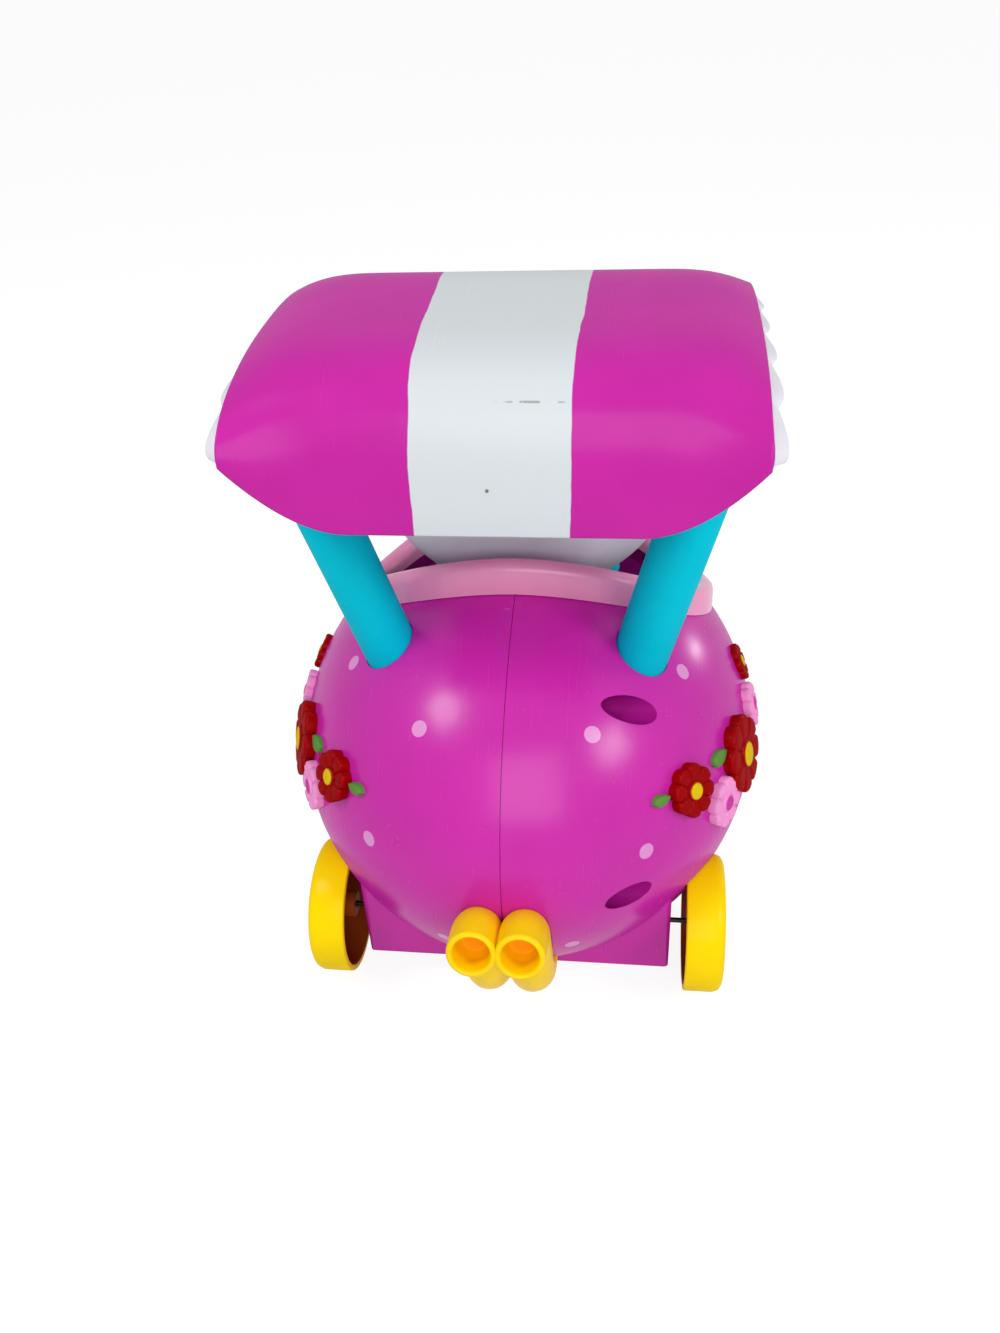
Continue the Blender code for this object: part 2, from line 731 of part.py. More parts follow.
def seat_form(name, grow):
    """Solid ellipsoid that the seat's bucket is cut from."""
    bm = bmesh.new()
    bmesh.ops.create_uvsphere(bm, u_segments=24, v_segments=18, radius=1.0)
    size = (SEAT_HALF_WIDTH + grow, SEAT_HALF_DEPTH + grow, SEAT_HALF_HEIGHT + grow)
    bmesh.ops.scale(bm, vec=size, verts=bm.verts)
    bmesh.ops.translate(bm, vec=(0.0, SEAT_Y, SEAT_Z), verts=bm.verts)
    return from_bmesh(name, bm)


def seat_opening():
    """Cutter above the line from the seat's front edge up to the top of its back."""
    front = SEAT_Y + 2 * SEAT_HALF_DEPTH
    back = SEAT_Y - 2 * SEAT_HALF_DEPTH
    width = 2 * SEAT_HALF_WIDTH
    top = SEAT_Z + 2 * SEAT_HALF_HEIGHT
    outline = [(front, SEAT_FRONT_Z), (SEAT_Y + SEAT_HALF_DEPTH * SEAT_FRONT_SHARE, SEAT_FRONT_Z),
               (SEAT_Y + SEAT_HALF_DEPTH * SEAT_BACK_SHARE, SEAT_BACK_Z), (back, SEAT_BACK_Z),
               (back, top), (front, top)]
    rings = [[(x, y, z) for y, z in outline] for x in (-width, width)]
    return loft("seat opening", rings)


def oval(half_axes, z):
    """Level oval under the seat."""
    sides = 24
    turns = [math.tau * i / sides for i in range(sides)]
    return [(half_axes[0] * math.cos(t), SEAT_Y + half_axes[1] * math.sin(t), z) for t in turns]


def make_seat():
    """Bucket seat and the foot that carries it."""
    shell = seat_form("seat form", 0.0)
    boolean(shell, seat_form("seat hollow", -SEAT_WALL))
    boolean(shell, seat_opening())
    freeze(shell)
    add_object("seat_shell", shell.data.copy(), "seat_white")
    bpy.data.objects.remove(shell)
    rings = [oval(SEAT_FOOT, TUB_FLOOR_Z + GAP), oval(SEAT_CUP, SEAT_CUP_Z)]
    foot = loft("seat_base", rings, "teal")
    boolean(foot, seat_form("seat in its cup", GAP))


# Dashboard and steering

def steering_axis():
    """Direction from the dashboard back and up to the driver."""
    return Vector((0.0, -math.cos(STEERING_TILT), math.sin(STEERING_TILT)))


def dash_face_point():
    """Point where the steering column comes out of the dashboard."""
    return Vector((0.0, DASH_Y, DASH_TOP_Z - DASH_DEPTH / 2))


def steering_centre():
    """Middle of the steering wheel."""
    return dash_face_point() + steering_axis() * COLUMN_SHOWN


def make_dashboard():
    """Dashboard across the front of the tub, cut to the tub's inside."""
    low = (-COCKPIT_HALF_WIDTH, DASH_Y, DASH_TOP_Z - DASH_DEPTH)
    high = (COCKPIT_HALF_WIDTH, COCKPIT_Y + COCKPIT_FRONT, DASH_TOP_Z)
    dash = block("dashboard", low, high, "deep_magenta", DASH_ROUNDING)
    boolean(dash, tub_room(), "INTERSECT")
    boolean(dash, ball("below the rim", -RIM_WIDTH), "INTERSECT")
    start = dash_face_point() - steering_axis() * (COLUMN_SUNK + RUNNING_GAP)
    bore = rod("column bore", start, steering_centre(), COLUMN_RADIUS + RUNNING_GAP, 16)
    boolean(dash, bore)


def make_steering():
    """Steering wheel with three spokes, on its column."""
    axis = steering_axis()
    centre = steering_centre()
    turn = axis.to_track_quat("Z", "Y").to_matrix().to_4x4()
    bpy.ops.mesh.primitive_torus_add(major_segments=24, minor_segments=6,
                                     major_radius=STEERING_RADIUS, minor_radius=STEERING_GRIP)
    ring = bpy.context.object
    ring.name = "steering_wheel"
    for group in list(ring.users_collection):
        group.objects.unlink(ring)
    PARTS.objects.link(ring)
    ring.data.transform(turn)
    ring.data.materials.append(finish("teal"))
    ring.data.shade_smooth()
    ring.location = centre
    half = STEERING_HUB_HEIGHT / 2
    hub = rod("steering hub", centre - axis * half, centre + axis * half, STEERING_HUB_RADIUS, 20)
    boolean(ring, hub, "UNION")
    for i in range(SPOKES):
        angle = math.tau * i / SPOKES + math.pi / 2
        reach = turn @ Vector((math.cos(angle), math.sin(angle), 0.0)) * STEERING_RADIUS
        spoke = rod(f"steering spoke {i}", centre, centre + reach, SPOKE_RADIUS, 10)
        boolean(ring, spoke, "UNION")
    tip = centre + axis * GAP
    boolean(ring, rod("hub bore", centre - axis * STEERING_HUB_HEIGHT, tip, COLUMN_RADIUS + GAP, 16))
    start = dash_face_point() - axis * COLUMN_SUNK
    column = rod("steering_column", start, tip - axis * GAP, COLUMN_RADIUS, 16, "grey")
    move_origin(column, centre)


# Canopy

def canopy_weight(x, angle):
    """How far the canopy's section has changed towards its end arch; the crown changes last."""
    run = (abs(x) - END_START) / (CANOPY_HALF_WIDTH - END_START)
    rise = max(0.0, math.sin(angle))
    return min(1.0, max(0.0, run) ** (END_BLEND + CROWN_BLEND * rise))


def arch(angle, half_depth, height, lip, exponent, slant):
    """Point of a superellipse arch; angle 0 is the rear lip and pi the front lip."""
    power = 2.0 / exponent
    rise = max(0.0, math.sin(angle)) ** power
    reach = half_depth * (1.0 - slant * rise) * signed_power(math.cos(angle), power)
    return Vector((CANOPY_Y - reach, lip + height * rise))


def canopy_point(x, angle):
    """Point of the canopy's outer sheet."""
    middle = arch(angle, CANOPY_HALF_DEPTH, CANOPY_HEIGHT, CANOPY_LIP_Z, CANOPY_EXPONENT,
                  CANOPY_SLANT)
    end = arch(angle, END_HALF_DEPTH, END_HEIGHT, END_LIP_Z, END_EXPONENT, 0.0)
    y, z = middle.lerp(end, canopy_weight(x, angle))
    return Vector((x, y, z))


def canopy_inside(x, angle, depth):
    """Point under the canopy's outer sheet, at a depth square to it."""
    step = 0.001
    point = canopy_point(x, angle)
    across = canopy_point(x + GAP, angle) - canopy_point(x - GAP, angle)
    along = canopy_point(x, min(math.pi, angle + step)) - canopy_point(x, max(0.0, angle - step))
    return point - across.cross(along).normalized() * depth


def canopy_angles():
    """Angles over the arch, closer together round its two ridges."""
    steps = 16
    spread = [i / steps for i in range(steps + 1)]
    return [math.pi * (t - math.sin(4.0 * math.pi * t) / (8.0 * math.pi)) for t in spread]


def canopy_stations():
    """Places across the canopy: the ends of its straight middle, then even steps outward."""
    half = [0.0] + [END_START + end_step() * i for i in range(END_STEPS + 1)]
    return [-x for x in half[:0:-1]] + half


def end_step():
    """Distance between two stations of a canopy end."""
    return (CANOPY_HALF_WIDTH - END_START) / END_STEPS


def sheet(name, rows, colour):
    """Open sheet through rows of points, its normals up."""
    bm = bmesh.new()
    grid = [[bm.verts.new(point) for point in row] for row in rows]
    for row, after in zip(grid, grid[1:]):
        for i in range(len(row) - 1):
            bm.faces.new((row[i], after[i], after[i + 1], row[i + 1]))
    return from_bmesh(name, bm, colour)


def upright_rods(name, radius, low, high):
    """Upright rods over both posts' tops, between two heights."""
    bm = bmesh.new()
    for sign in (-1.0, 1.0):
        top = post_point(sign, POST_TOP_Z)
        add_rod(bm, (top.x, top.y, low), (top.x, top.y, high), radius, 16)
    return from_bmesh(name, bm)


def make_canopy():
    """Canopy sheet with a socket for each post."""
    rows = [[canopy_point(x, angle) for angle in canopy_angles()] for x in canopy_stations()]
    canopy = sheet("canopy_shell", rows, "magenta")
    thicken(canopy, CANOPY_WALL)
    crown = CANOPY_LIP_Z + CANOPY_HEIGHT
    bosses = upright_rods("canopy sockets", SPIGOT_RADIUS + SOCKET_WALL + GAP, POST_TOP_Z + GAP, crown)
    rings = [[canopy_inside(x, angle, CANOPY_WALL / 2) for angle in canopy_angles()]
             for x in canopy_stations()]
    boolean(bosses, loft("room under the canopy", rings), "INTERSECT")
    boolean(canopy, bosses, "UNION")
    top = POST_TOP_Z + SPIGOT_HEIGHT + GAP
    boolean(canopy, upright_rods("socket bores", SPIGOT_RADIUS + GAP, POST_TOP_Z - GAP, top))


def frill_flare(run):
    """Share of a pleat's round swell at a run in pleats: it grows faster than it falls."""
    return math.sin(math.pi * (run % 1.0) ** PLEAT_SKEW)


def frill_row(sign, angle):
    """Tucked edge, fold and hanging edge of the frill, before it is pleated."""
    depth = CANOPY_WALL + FRILL_ROOM
    edge = CANOPY_HALF_WIDTH
    row = [canopy_inside(sign * (edge - end_step()), angle, depth),
           canopy_inside(sign * edge, angle, depth),
           canopy_inside(sign * edge, angle, depth + FRILL_DROP)]
    row[0] = row[1].lerp(row[0], FRILL_TUCK)
    row[2].x = sign * (edge + FRILL_FLARE)
    return row


def make_frill(name, sign):
    """Pleated trim that runs along the arch of one canopy end."""
    folds = [frill_row(sign, angle) for angle in canopy_angles()]
    fine = []
    for row, after in zip(folds, folds[1:]):
        for step in range(FRILL_STEPS):
            fine.append([a.lerp(b, step / FRILL_STEPS) for a, b in zip(row, after)])
    fine = fine[FRILL_STEPS // 2:] + [folds[-1]]
    total = sum((after[1] - row[1]).length for row, after in zip(fine, fine[1:]))
    run = 0.0
    rows = []
    for i, row in enumerate(fine):
        if i > 0:
            run += (row[1] - fine[i - 1][1]).length
        row[2].x += sign * FRILL_PLEAT * frill_flare(run / total * FRILL_PLEATS)
        rows.append(row if sign < 0 else row[::-1])
    frill = sheet(name, rows, "white")
    thicken(frill, FRILL_WALL)


def make_posts():
    """Two leaning posts, cut level at the top, each with an upright spigot."""
    foot = ball_top(POST_FOOT_X, POST_FOOT_Y)
    reach = 2 * BODY_HALF_LENGTH
    above = block("above the posts", (-reach, -reach, POST_TOP_Z), (reach, reach, 2 * POST_TOP_Z))
    for side, sign in (("left", -1.0), ("right", 1.0)):
        post = rod(f"post_{side}", post_point(sign, foot - POST_SUNK),
                   post_point(sign, POST_TOP_Z + POST_RADIUS), POST_RADIUS, 20, "teal")
        boolean(post, above)
        top = post_point(sign, POST_TOP_Z)
        spigot = rod(f"spigot {side}", (top.x, top.y, POST_TOP_Z - SPIGOT_RADIUS),
                     (top.x, top.y, POST_TOP_Z + SPIGOT_HEIGHT), SPIGOT_RADIUS, 16)
        boolean(post, spigot, "UNION")


# Exhaust

def pipe_points():
    """Points of the exhaust's route in the body's middle plane."""
    rise = BODY_CENTRE_Z - UNDERSIDE_Z
    return [Vector((0.0, BODY_HALF_LENGTH * along, UNDERSIDE_Z + rise * up)) for along, up in PIPE_ROUTE]


def pipe_tube(name, sign, radius, early=0.0):
    """Mesh of one pipe along its route, which starts earlier by a length."""
    points = pipe_points()
    points[0] += (points[0] - points[1]).normalized() * early
    curve = bpy.data.curves.new(name, "CURVE")
    curve.dimensions = "3D"
    curve.resolution_u = 2
    curve.bevel_depth = radius
    curve.bevel_resolution = 5
    curve.use_fill_caps = True
    spline = curve.splines.new("BEZIER")
    spline.bezier_points.add(len(points) - 1)
    for knot, point in zip(spline.bezier_points, points):
        knot.co = point + Vector((sign * PIPE_X, 0.0, 0.0))
        knot.handle_left_type = "AUTO"
        knot.handle_right_type = "AUTO"
    carrier = bpy.data.objects.new(name, curve)
    CUTTERS.objects.link(carrier)
    mesh = fixed_mesh(carrier)
    bpy.data.objects.remove(carrier)
    bm = bmesh.new()
    bm.from_mesh(mesh)
    bmesh.ops.remove_doubles(bm, verts=bm.verts, dist=0.00001)
    bmesh.ops.recalc_face_normals(bm, faces=bm.faces)
    bm.to_mesh(mesh)
    bm.free()
    return mesh


def exhaust_slot():
    """Slot through the body's rear wall between the two pipes."""
    start, low, _, high = pipe_points()[:4]
    half = PIPE_X * PIPE_SLOT_SHARE
    return block("exhaust slot", (-half, high.y, low.z), (half, start.y, high.z))


def make_exhaust():
    """Twin exhaust, one moulding with two open mouths."""
    exhaust = add_object("twin_exhaust", pipe_tube("pipe left", -1.0, PIPE_RADIUS), "yellow")
    other = add_object("pipe right", pipe_tube("pipe right", 1.0, PIPE_RADIUS))
    boolean(exhaust, other, "UNION")
    before, last = pipe_points()[-2:]
    along = (last - before).normalized()
    for side, sign in (("left", -1.0), ("right", 1.0)):
        mouth = last + Vector((sign * PIPE_X, 0.0, 0.0))
        bore = rod(f"mouth {side}", mouth - along * PIPE_BORE_DEPTH, mouth + along * PIPE_RADIUS,
                   PIPE_BORE_RADIUS, 20)
        boolean(exhaust, bore)


# Wheels and axles

def wheel_profile():
    """Outer profile of a wheel: height 0 is its outer face, the inner side is hollow."""
    radius = WHEEL_RADIUS
    web_back = WHEEL_DISH + WHEEL_WEB
    hub_end = WHEEL_WIDTH - HUB_SET_BACK
    bore = AXLE_RADIUS + GAP
    return [
        (0.0, -WHEEL_DISH),
        (radius * DISH_INNER_SHARE, -WHEEL_DISH),
        (radius * DISH_OUTER_SHARE, 0.0),
        (radius - WHEEL_SHOULDER, 0.0),
        (radius - WHEEL_SHOULDER * 0.3, -WHEEL_SHOULDER * 0.4),
        (radius, -WHEEL_SHOULDER * 1.2),
        (radius, -WHEEL_WIDTH),
        (radius - WHEEL_RIM, -WHEEL_WIDTH),
        (radius - WHEEL_RIM, -web_back),
        (WHEEL_HUB_RADIUS, -web_back),
        (WHEEL_HUB_RADIUS, -hub_end),
        (bore, -hub_end),
        (bore, -web_back + GAP),
        (0.0, -web_back + GAP),
    ]


def make_wheels():
    """Four wheels, pressed on the axles; the outer face looks away from the car."""
    outer = WHEEL_INNER_X + WHEEL_WIDTH
    for name, sign, y in wheel_places():
        axis = "X" if sign > 0 else "-X"
        turned(name, wheel_profile(), (sign * outer, y, WHEEL_RADIUS), WHEEL_SIDES, "yellow", axis)


def make_axles():
    """Rear and front axle, steel rods from wheel to wheel."""
    reach = WHEEL_INNER_X + WHEEL_WIDTH - WHEEL_DISH - WHEEL_WEB
    for name, y in (("rear_axle", -AXLE_Y), ("front_axle", AXLE_Y)):
        axle = rod(name, (-reach, y, WHEEL_RADIUS), (reach, y, WHEEL_RADIUS), AXLE_RADIUS, 12, "steel")
        move_origin(axle, (0.0, y, WHEEL_RADIUS))


# Gear train

def gear_distance():
    """Distance between the axes of a gear and its pinion."""
    return GEAR_MODULE * (PINION_TEETH + GEAR_TEETH) / 2


def axle_centre():
    """Rear axle in the plane of the gears, as a place ahead and a height."""
    return Vector((-AXLE_Y, WHEEL_RADIUS))


def compound_centre():
    """Axis of the compound gear, as a place ahead and a height."""
    way = Vector((math.cos(COMPOUND_ANGLE), math.sin(COMPOUND_ANGLE)))
    return axle_centre() + way * gear_distance()


def motor_centre():
    """Axis of the motor, as a place ahead and a height."""
    way = Vector((math.cos(PINION_ANGLE), math.sin(PINION_ANGLE)))
    return compound_centre() + way * gear_distance()


def gear_ring(x, centre, teeth, phase):
    """Outline of a spur gear in the plane x; phase is the angle of one tooth."""
    pitch_radius = GEAR_MODULE * teeth / 2
    tip = pitch_radius + GEAR_MODULE * TOOTH_ADDENDUM
    root = pitch_radius - GEAR_MODULE * TOOTH_DEDENDUM
    step = math.tau / teeth
    corners = ((-TOOTH_ROOT_SHARE / 2, root), (-TOOTH_TIP_SHARE / 2, tip),
               (TOOTH_TIP_SHARE / 2, tip), (TOOTH_ROOT_SHARE / 2, root))
    ring = []
    for i in range(teeth):
        for share, radius in corners:
            angle = phase + step * (i + share)
            ring.append((x, centre.x + radius * math.cos(angle), centre.y + radius * math.sin(angle)))
    return ring


def gear(name, low, high, centre, teeth, phase, colour=None):
    """Spur gear between two places across the car."""
    return loft(name, [gear_ring(x, centre, teeth, phase) for x in (low, high)], colour)


def bored(obj, centre, low, high, radius):
    """Cuts a bore along X."""
    hole = rod(obj.name + " bore", (low, *centre), (high, *centre), radius, 12)
    return boolean(obj, hole)


def make_gears():
    """Motor pinion, compound gear and axle gear, in mesh."""
    first = CHEEK_LEFT_X + CHEEK_THICKNESS + RUNNING_GAP
    second = first + GEAR_WIDTH
    axle = axle_centre()
    middle = compound_centre()
    motor = motor_centre()
    half_pinion = math.pi / PINION_TEETH
    axle_low = second + RUNNING_GAP
    axle_high = axle_low + GEAR_WIDTH
    axle_gear = gear("axle_gear", axle_low, axle_high, axle, GEAR_TEETH, COMPOUND_ANGLE, "nylon")
    bored(axle_gear, axle, axle_low - GAP, axle_high + GAP, AXLE_RADIUS + GAP)
    move_origin(axle_gear, ((axle_low + axle_high) / 2, *axle))
    far = second + PINION_WIDTH
    compound = gear("compound_gear", first, second, middle, GEAR_TEETH, PINION_ANGLE, "nylon")
    small = gear("compound pinion", second - GAP, far, middle, PINION_TEETH,
                 COMPOUND_ANGLE + math.pi + half_pinion)
    boolean(compound, small, "UNION")
    bored(compound, middle, first - GAP, far + GAP, ARBOR_RADIUS + GAP)
    move_origin(compound, (first, *middle))
    pinion = gear("motor_pinion", first, second, motor, PINION_TEETH,
                  PINION_ANGLE + math.pi + half_pinion, "nylon")
    bored(pinion, motor, first - GAP, second + GAP, MOTOR_SHAFT_RADIUS + GAP)
    move_origin(pinion, (first, *motor))
    arbor_low = CHEEK_LEFT_X + GAP
    arbor_high = cheek_right_x() + CHEEK_THICKNESS - GAP
    rod("gear_arbor", (arbor_low, *middle), (arbor_high, *middle), ARBOR_RADIUS, 12, "steel")


def cheek_right_x():
    """Inner face of the right cheek of the gearbox."""
    room = 2 * RUNNING_GAP + 2 * GEAR_WIDTH + RUNNING_GAP + PINION_WIDTH - GEAR_WIDTH
    return CHEEK_LEFT_X + CHEEK_THICKNESS + room


def pan_top():
    """Height of the pan's floor."""
    return UNDERSIDE_Z + PAN_RECESS + PAN_THICKNESS


def make_gearbox():
    """Frame of two cheeks and a roof that carries the gears and the motor."""
    tip = GEAR_MODULE * (GEAR_TEETH / 2 + TOOTH_ADDENDUM)
    rear = -AXLE_Y - tip * 0.75
    front = motor_centre().x + MOTOR_RADIUS
    low_z = pan_top() + GAP
    high_z = compound_centre().y + tip + RUNNING_GAP + CHEEK_THICKNESS
    left = CHEEK_LEFT_X
    right = cheek_right_x() + CHEEK_THICKNESS
    frame = block("gearbox_frame", (left, rear, low_z), (right, front, high_z), "grey")
    inside_low = (left + CHEEK_THICKNESS, rear - GAP, low_z - GAP)
    inside_high = (cheek_right_x(), front - CHEEK_THICKNESS, high_z - CHEEK_THICKNESS)
    boolean(frame, block("gearbox room", inside_low, inside_high))
    boolean(frame, axle_bores("gearbox axle bore", SKIRT_HALF_WIDTH))
    bored(frame, compound_centre(), left - GAP, right + GAP, ARBOR_RADIUS + GAP)
    bored(frame, motor_centre(), left - GAP, left + CHEEK_THICKNESS + GAP,
          MOTOR_SHAFT_RADIUS + RUNNING_GAP)


def make_motor():
    """Small can motor with two flats; its shaft turns in its own body."""
    centre = motor_centre()
    face = CHEEK_LEFT_X - GAP
    can = rod("motor", (face - MOTOR_LENGTH, *centre), (face, *centre), MOTOR_RADIUS, 28, "steel")
    reach = 2 * MOTOR_RADIUS
    low = Vector((face - 2 * MOTOR_LENGTH, centre.x - reach, centre.y - MOTOR_FLAT))
    high = Vector((face + MOTOR_LENGTH, centre.x + reach, centre.y + MOTOR_FLAT))
    boolean(can, block("motor flats", low, high), "INTERSECT")
    shaft_start = face - MOTOR_LENGTH / 4
    shaft_end = CHEEK_LEFT_X + CHEEK_THICKNESS + RUNNING_GAP + GEAR_WIDTH
    bored(can, centre, shaft_start - GAP, face + GAP, MOTOR_SHAFT_RADIUS + GAP)
    shaft = rod("motor_shaft", (shaft_start, *centre), (shaft_end, *centre), MOTOR_SHAFT_RADIUS, 12,
                "steel")
    move_origin(shaft, (face, *centre))


# Chassis pan, battery box and switch

def battery_half_x():
    """Half of the battery box's inner length across the car."""
    return CELL_LENGTH / 2 + CONTACT_THICKNESS + 2 * GAP


def battery_half_y():
    """Half of the battery box's inner width along the car."""
    return CELL_PITCH * CELL_COUNT / 2 + GAP


def cell_z():
    """Height of the cells' axes."""
    return UNDERSIDE_Z + PAN_RECESS + DOOR_THICKNESS + GAP + DOOR_TAB_THICKNESS + GAP + CELL_RADIUS


def battery_box(name, grow, low_z, high_z):
    """Box round the cells, larger by grow."""
    half_x = battery_half_x() + grow
    half_y = battery_half_y() + grow
    return block(name, (-half_x, CELLS_Y - half_y, low_z), (half_x, CELLS_Y + half_y, high_z))


def door_edges():
    """Rear and front edge of the battery door's opening."""
    return CELLS_Y - battery_half_y(), CELLS_Y + battery_half_y()


def lug_screw_y():
    """Place of the battery door's screw, in the lug ahead of the cells."""
    return door_edges()[1] + DOOR_LUG / 2


def make_pan():
    """Chassis pan: floor, axle bearings, battery box and switch slot."""
    low_z = UNDERSIDE_Z + PAN_RECESS
    pan = skirt("chassis_pan", SHELL_WALL + GAP, low_z, pan_top(), "deep_magenta")
    for y in (-AXLE_Y, AXLE_Y):
        for sign in (-1.0, 1.0):
            centre = sign * BEARING_X
            low = (centre - BEARING_THICKNESS / 2, y - BEARING_WIDTH / 2, low_z + PAN_THICKNESS / 2)
            high = (centre + BEARING_THICKNESS / 2, y + BEARING_WIDTH / 2, WHEEL_RADIUS + BEARING_RISE)
            boolean(pan, block(f"bearing {sign:.0f} {y:.3f}", low, high), "UNION")
    boolean(pan, axle_bores("bearing bores", SKIRT_HALF_WIDTH))
    roof = cell_z() + CELL_RADIUS + GAP
    box = battery_box("battery box walls", BATTERY_WALL, low_z + PAN_THICKNESS / 2, roof + BATTERY_WALL)
    boolean(pan, box, "UNION")
    boolean(pan, battery_box("battery room", 0.0, low_z - PAN_THICKNESS, roof))
    rear, front = door_edges()
    lug_half = DOOR_LUG / 2 + DOOR_GAP
    lug_top = low_z + DOOR_THICKNESS + GAP
    lug = block("lug seat", (-lug_half, front - GAP, low_z - PAN_THICKNESS),
                (lug_half, front + DOOR_LUG + DOOR_GAP, lug_top))
    boss = block("lug boss", (-lug_half - BATTERY_WALL, front, low_z + PAN_THICKNESS / 2),
                 (lug_half + BATTERY_WALL, front + DOOR_LUG + DOOR_GAP + BATTERY_WALL,
                  low_z + LUG_BOSS_HEIGHT))
    boolean(pan, boss, "UNION")
    boolean(pan, lug)
    hole = rod("door screw hole", (0.0, lug_screw_y(), low_z),
               (0.0, lug_screw_y(), low_z + DOOR_SCREW_DEPTH), SCREW_RADIUS + DOOR_SCREW_PLAY, 16)
    boolean(pan, hole)
    tab_half = DOOR_TAB_WIDTH / 2 + DOOR_GAP
    tab_low = low_z + DOOR_THICKNESS
    for sign in (-1.0, 1.0):
        x = sign * battery_half_x() / 2
        slot = block(f"tab slot {sign:.0f}", (x - tab_half, rear - DOOR_TAB_LENGTH - DOOR_GAP, tab_low),
                     (x + tab_half, rear + GAP, tab_low + DOOR_TAB_THICKNESS + 2 * DOOR_GAP
                      + DOOR_TAB_LENGTH))
        boolean(pan, slot)
    slot_half = SWITCH_KNOB / 2 + GAP
    run = (SWITCH_KNOB + SWITCH_TRAVEL) / 2 + GAP
    switch_slot = block("switch slot", (SWITCH_X - slot_half, SWITCH_Y - run, low_z - PAN_THICKNESS),
                        (SWITCH_X + slot_half, SWITCH_Y + run, pan_top() + GAP))
    boolean(pan, switch_slot)


def make_door():
    """Battery door with two tabs at its rear edge and a lug for its screw at the front."""
    low_z = UNDERSIDE_Z + PAN_RECESS
    high_z = low_z + DOOR_THICKNESS
    rear, front = door_edges()
    half_x = battery_half_x() - DOOR_GAP
    door = block("battery_door", (-half_x, rear + DOOR_GAP, low_z), (half_x, front - DOOR_GAP, high_z),
                 "deep_magenta")
    lug = block("door lug", (-DOOR_LUG / 2, front - 2 * DOOR_GAP, low_z),
                (DOOR_LUG / 2, front + DOOR_LUG, high_z))
    boolean(door, lug, "UNION")
    for sign in (-1.0, 1.0):
        x = sign * battery_half_x() / 2
        tab = block(f"door tab {sign:.0f}",
                    (x - DOOR_TAB_WIDTH / 2, rear - DOOR_TAB_LENGTH, high_z + GAP),
                    (x + DOOR_TAB_WIDTH / 2, rear + DOOR_TAB_LENGTH, high_z + GAP + DOOR_TAB_THICKNESS))
        root = block(f"door tab root {sign:.0f}", (x - DOOR_TAB_WIDTH / 2, rear + 2 * DOOR_GAP, low_z + GAP),
                     (x + DOOR_TAB_WIDTH / 2, rear + DOOR_TAB_LENGTH, high_z + 2 * GAP))
        boolean(door, tab, "UNION")
        boolean(door, root, "UNION")
    y = lug_screw_y()
    hole = rod("lug hole", (0.0, y, low_z - GAP), (0.0, y, high_z + GAP), SCREW_RADIUS + GAP, 16)
    boolean(door, hole)
    sink = rod("lug sink", (0.0, y, low_z - GAP), (0.0, y, low_z + DOOR_SINK),
               SCREW_HEAD_RADIUS + GAP, 16)
    boolean(door, sink)
    freeze(door)
    move_origin(door, (0.0, rear + DOOR_GAP, low_z))
    head = rod("battery_door_screw", (0.0, y, low_z), (0.0, y, low_z + DOOR_SINK - GAP),
               SCREW_HEAD_RADIUS, 16, "steel")
    shank = rod("door screw shank", (0.0, y, low_z + GAP), (0.0, y, high_z + SCREW_GRIP / 2),
                SCREW_RADIUS, 12)
    boolean(head, shank, "UNION")


def make_batteries():
    """Cells side by side, each with its positive button, and a contact plate at each end."""
    z = cell_z()
    first = CELLS_Y - CELL_PITCH * (CELL_COUNT - 1) / 2
    for i in range(CELL_COUNT):
        y = first + CELL_PITCH * i
        sign = 1.0 if i % 2 == 0 else -1.0
        end = CELL_LENGTH / 2
        cell = rod(f"battery_cell_{i + 1}", (-sign * end, y, z), (sign * (end - CELL_BUTTON_HEIGHT), y, z),
                   CELL_RADIUS, 20, "cell_wrap")
        nub = rod(f"button {i + 1}", (0.0, y, z), (sign * end, y, z), CELL_BUTTON_RADIUS, 12)
        boolean(cell, nub, "UNION")
    for side, sign in (("left", -1.0), ("right", 1.0)):
        near = sign * (CELL_LENGTH / 2 + GAP)
        far = sign * (CELL_LENGTH / 2 + GAP + CONTACT_THICKNESS)
        low = (min(near, far), CELLS_Y - battery_half_y() + GAP, z - CONTACT_WIDTH / 2)
        high = (max(near, far), CELLS_Y + battery_half_y() - GAP, z + CONTACT_WIDTH / 2)
        block(f"battery_contact_{side}", low, high, "steel")


def make_switch():
    """Slide switch on the pan; its knob reaches down through the pan's slot."""
    length, width, height = SWITCH_BODY
    low_z = pan_top() + GAP
    body = block("power_switch", (SWITCH_X - length / 2, SWITCH_Y - width / 2, low_z),
                 (SWITCH_X + length / 2, SWITCH_Y + width / 2, low_z + height), "black")
    half = SWITCH_KNOB / 2 + GAP
    run = (SWITCH_KNOB + SWITCH_TRAVEL) / 2 + GAP
    room = block("knob room", (SWITCH_X - half, SWITCH_Y - run, low_z - GAP),
                 (SWITCH_X + half, SWITCH_Y + run, low_z + height / 2 + GAP))
    boolean(body, room)
    start = SWITCH_Y - SWITCH_TRAVEL / 2
    block("switch_knob", (SWITCH_X - SWITCH_KNOB / 2, start - SWITCH_KNOB / 2,
                          UNDERSIDE_Z - SWITCH_KNOB_DROP),
          (SWITCH_X + SWITCH_KNOB / 2, start + SWITCH_KNOB / 2, low_z + height / 2), "black")


# Flowers and leaves

def side_frame(along, up):
    """Point of the ball's right side and its outward direction."""
    point = ball_side(along, up)
    normal = Vector((point.x / BODY_HALF_WIDTH ** 2, along / BODY_HALF_LENGTH, up / BODY_HALF_HEIGHT))
    return point, normal.normalized()


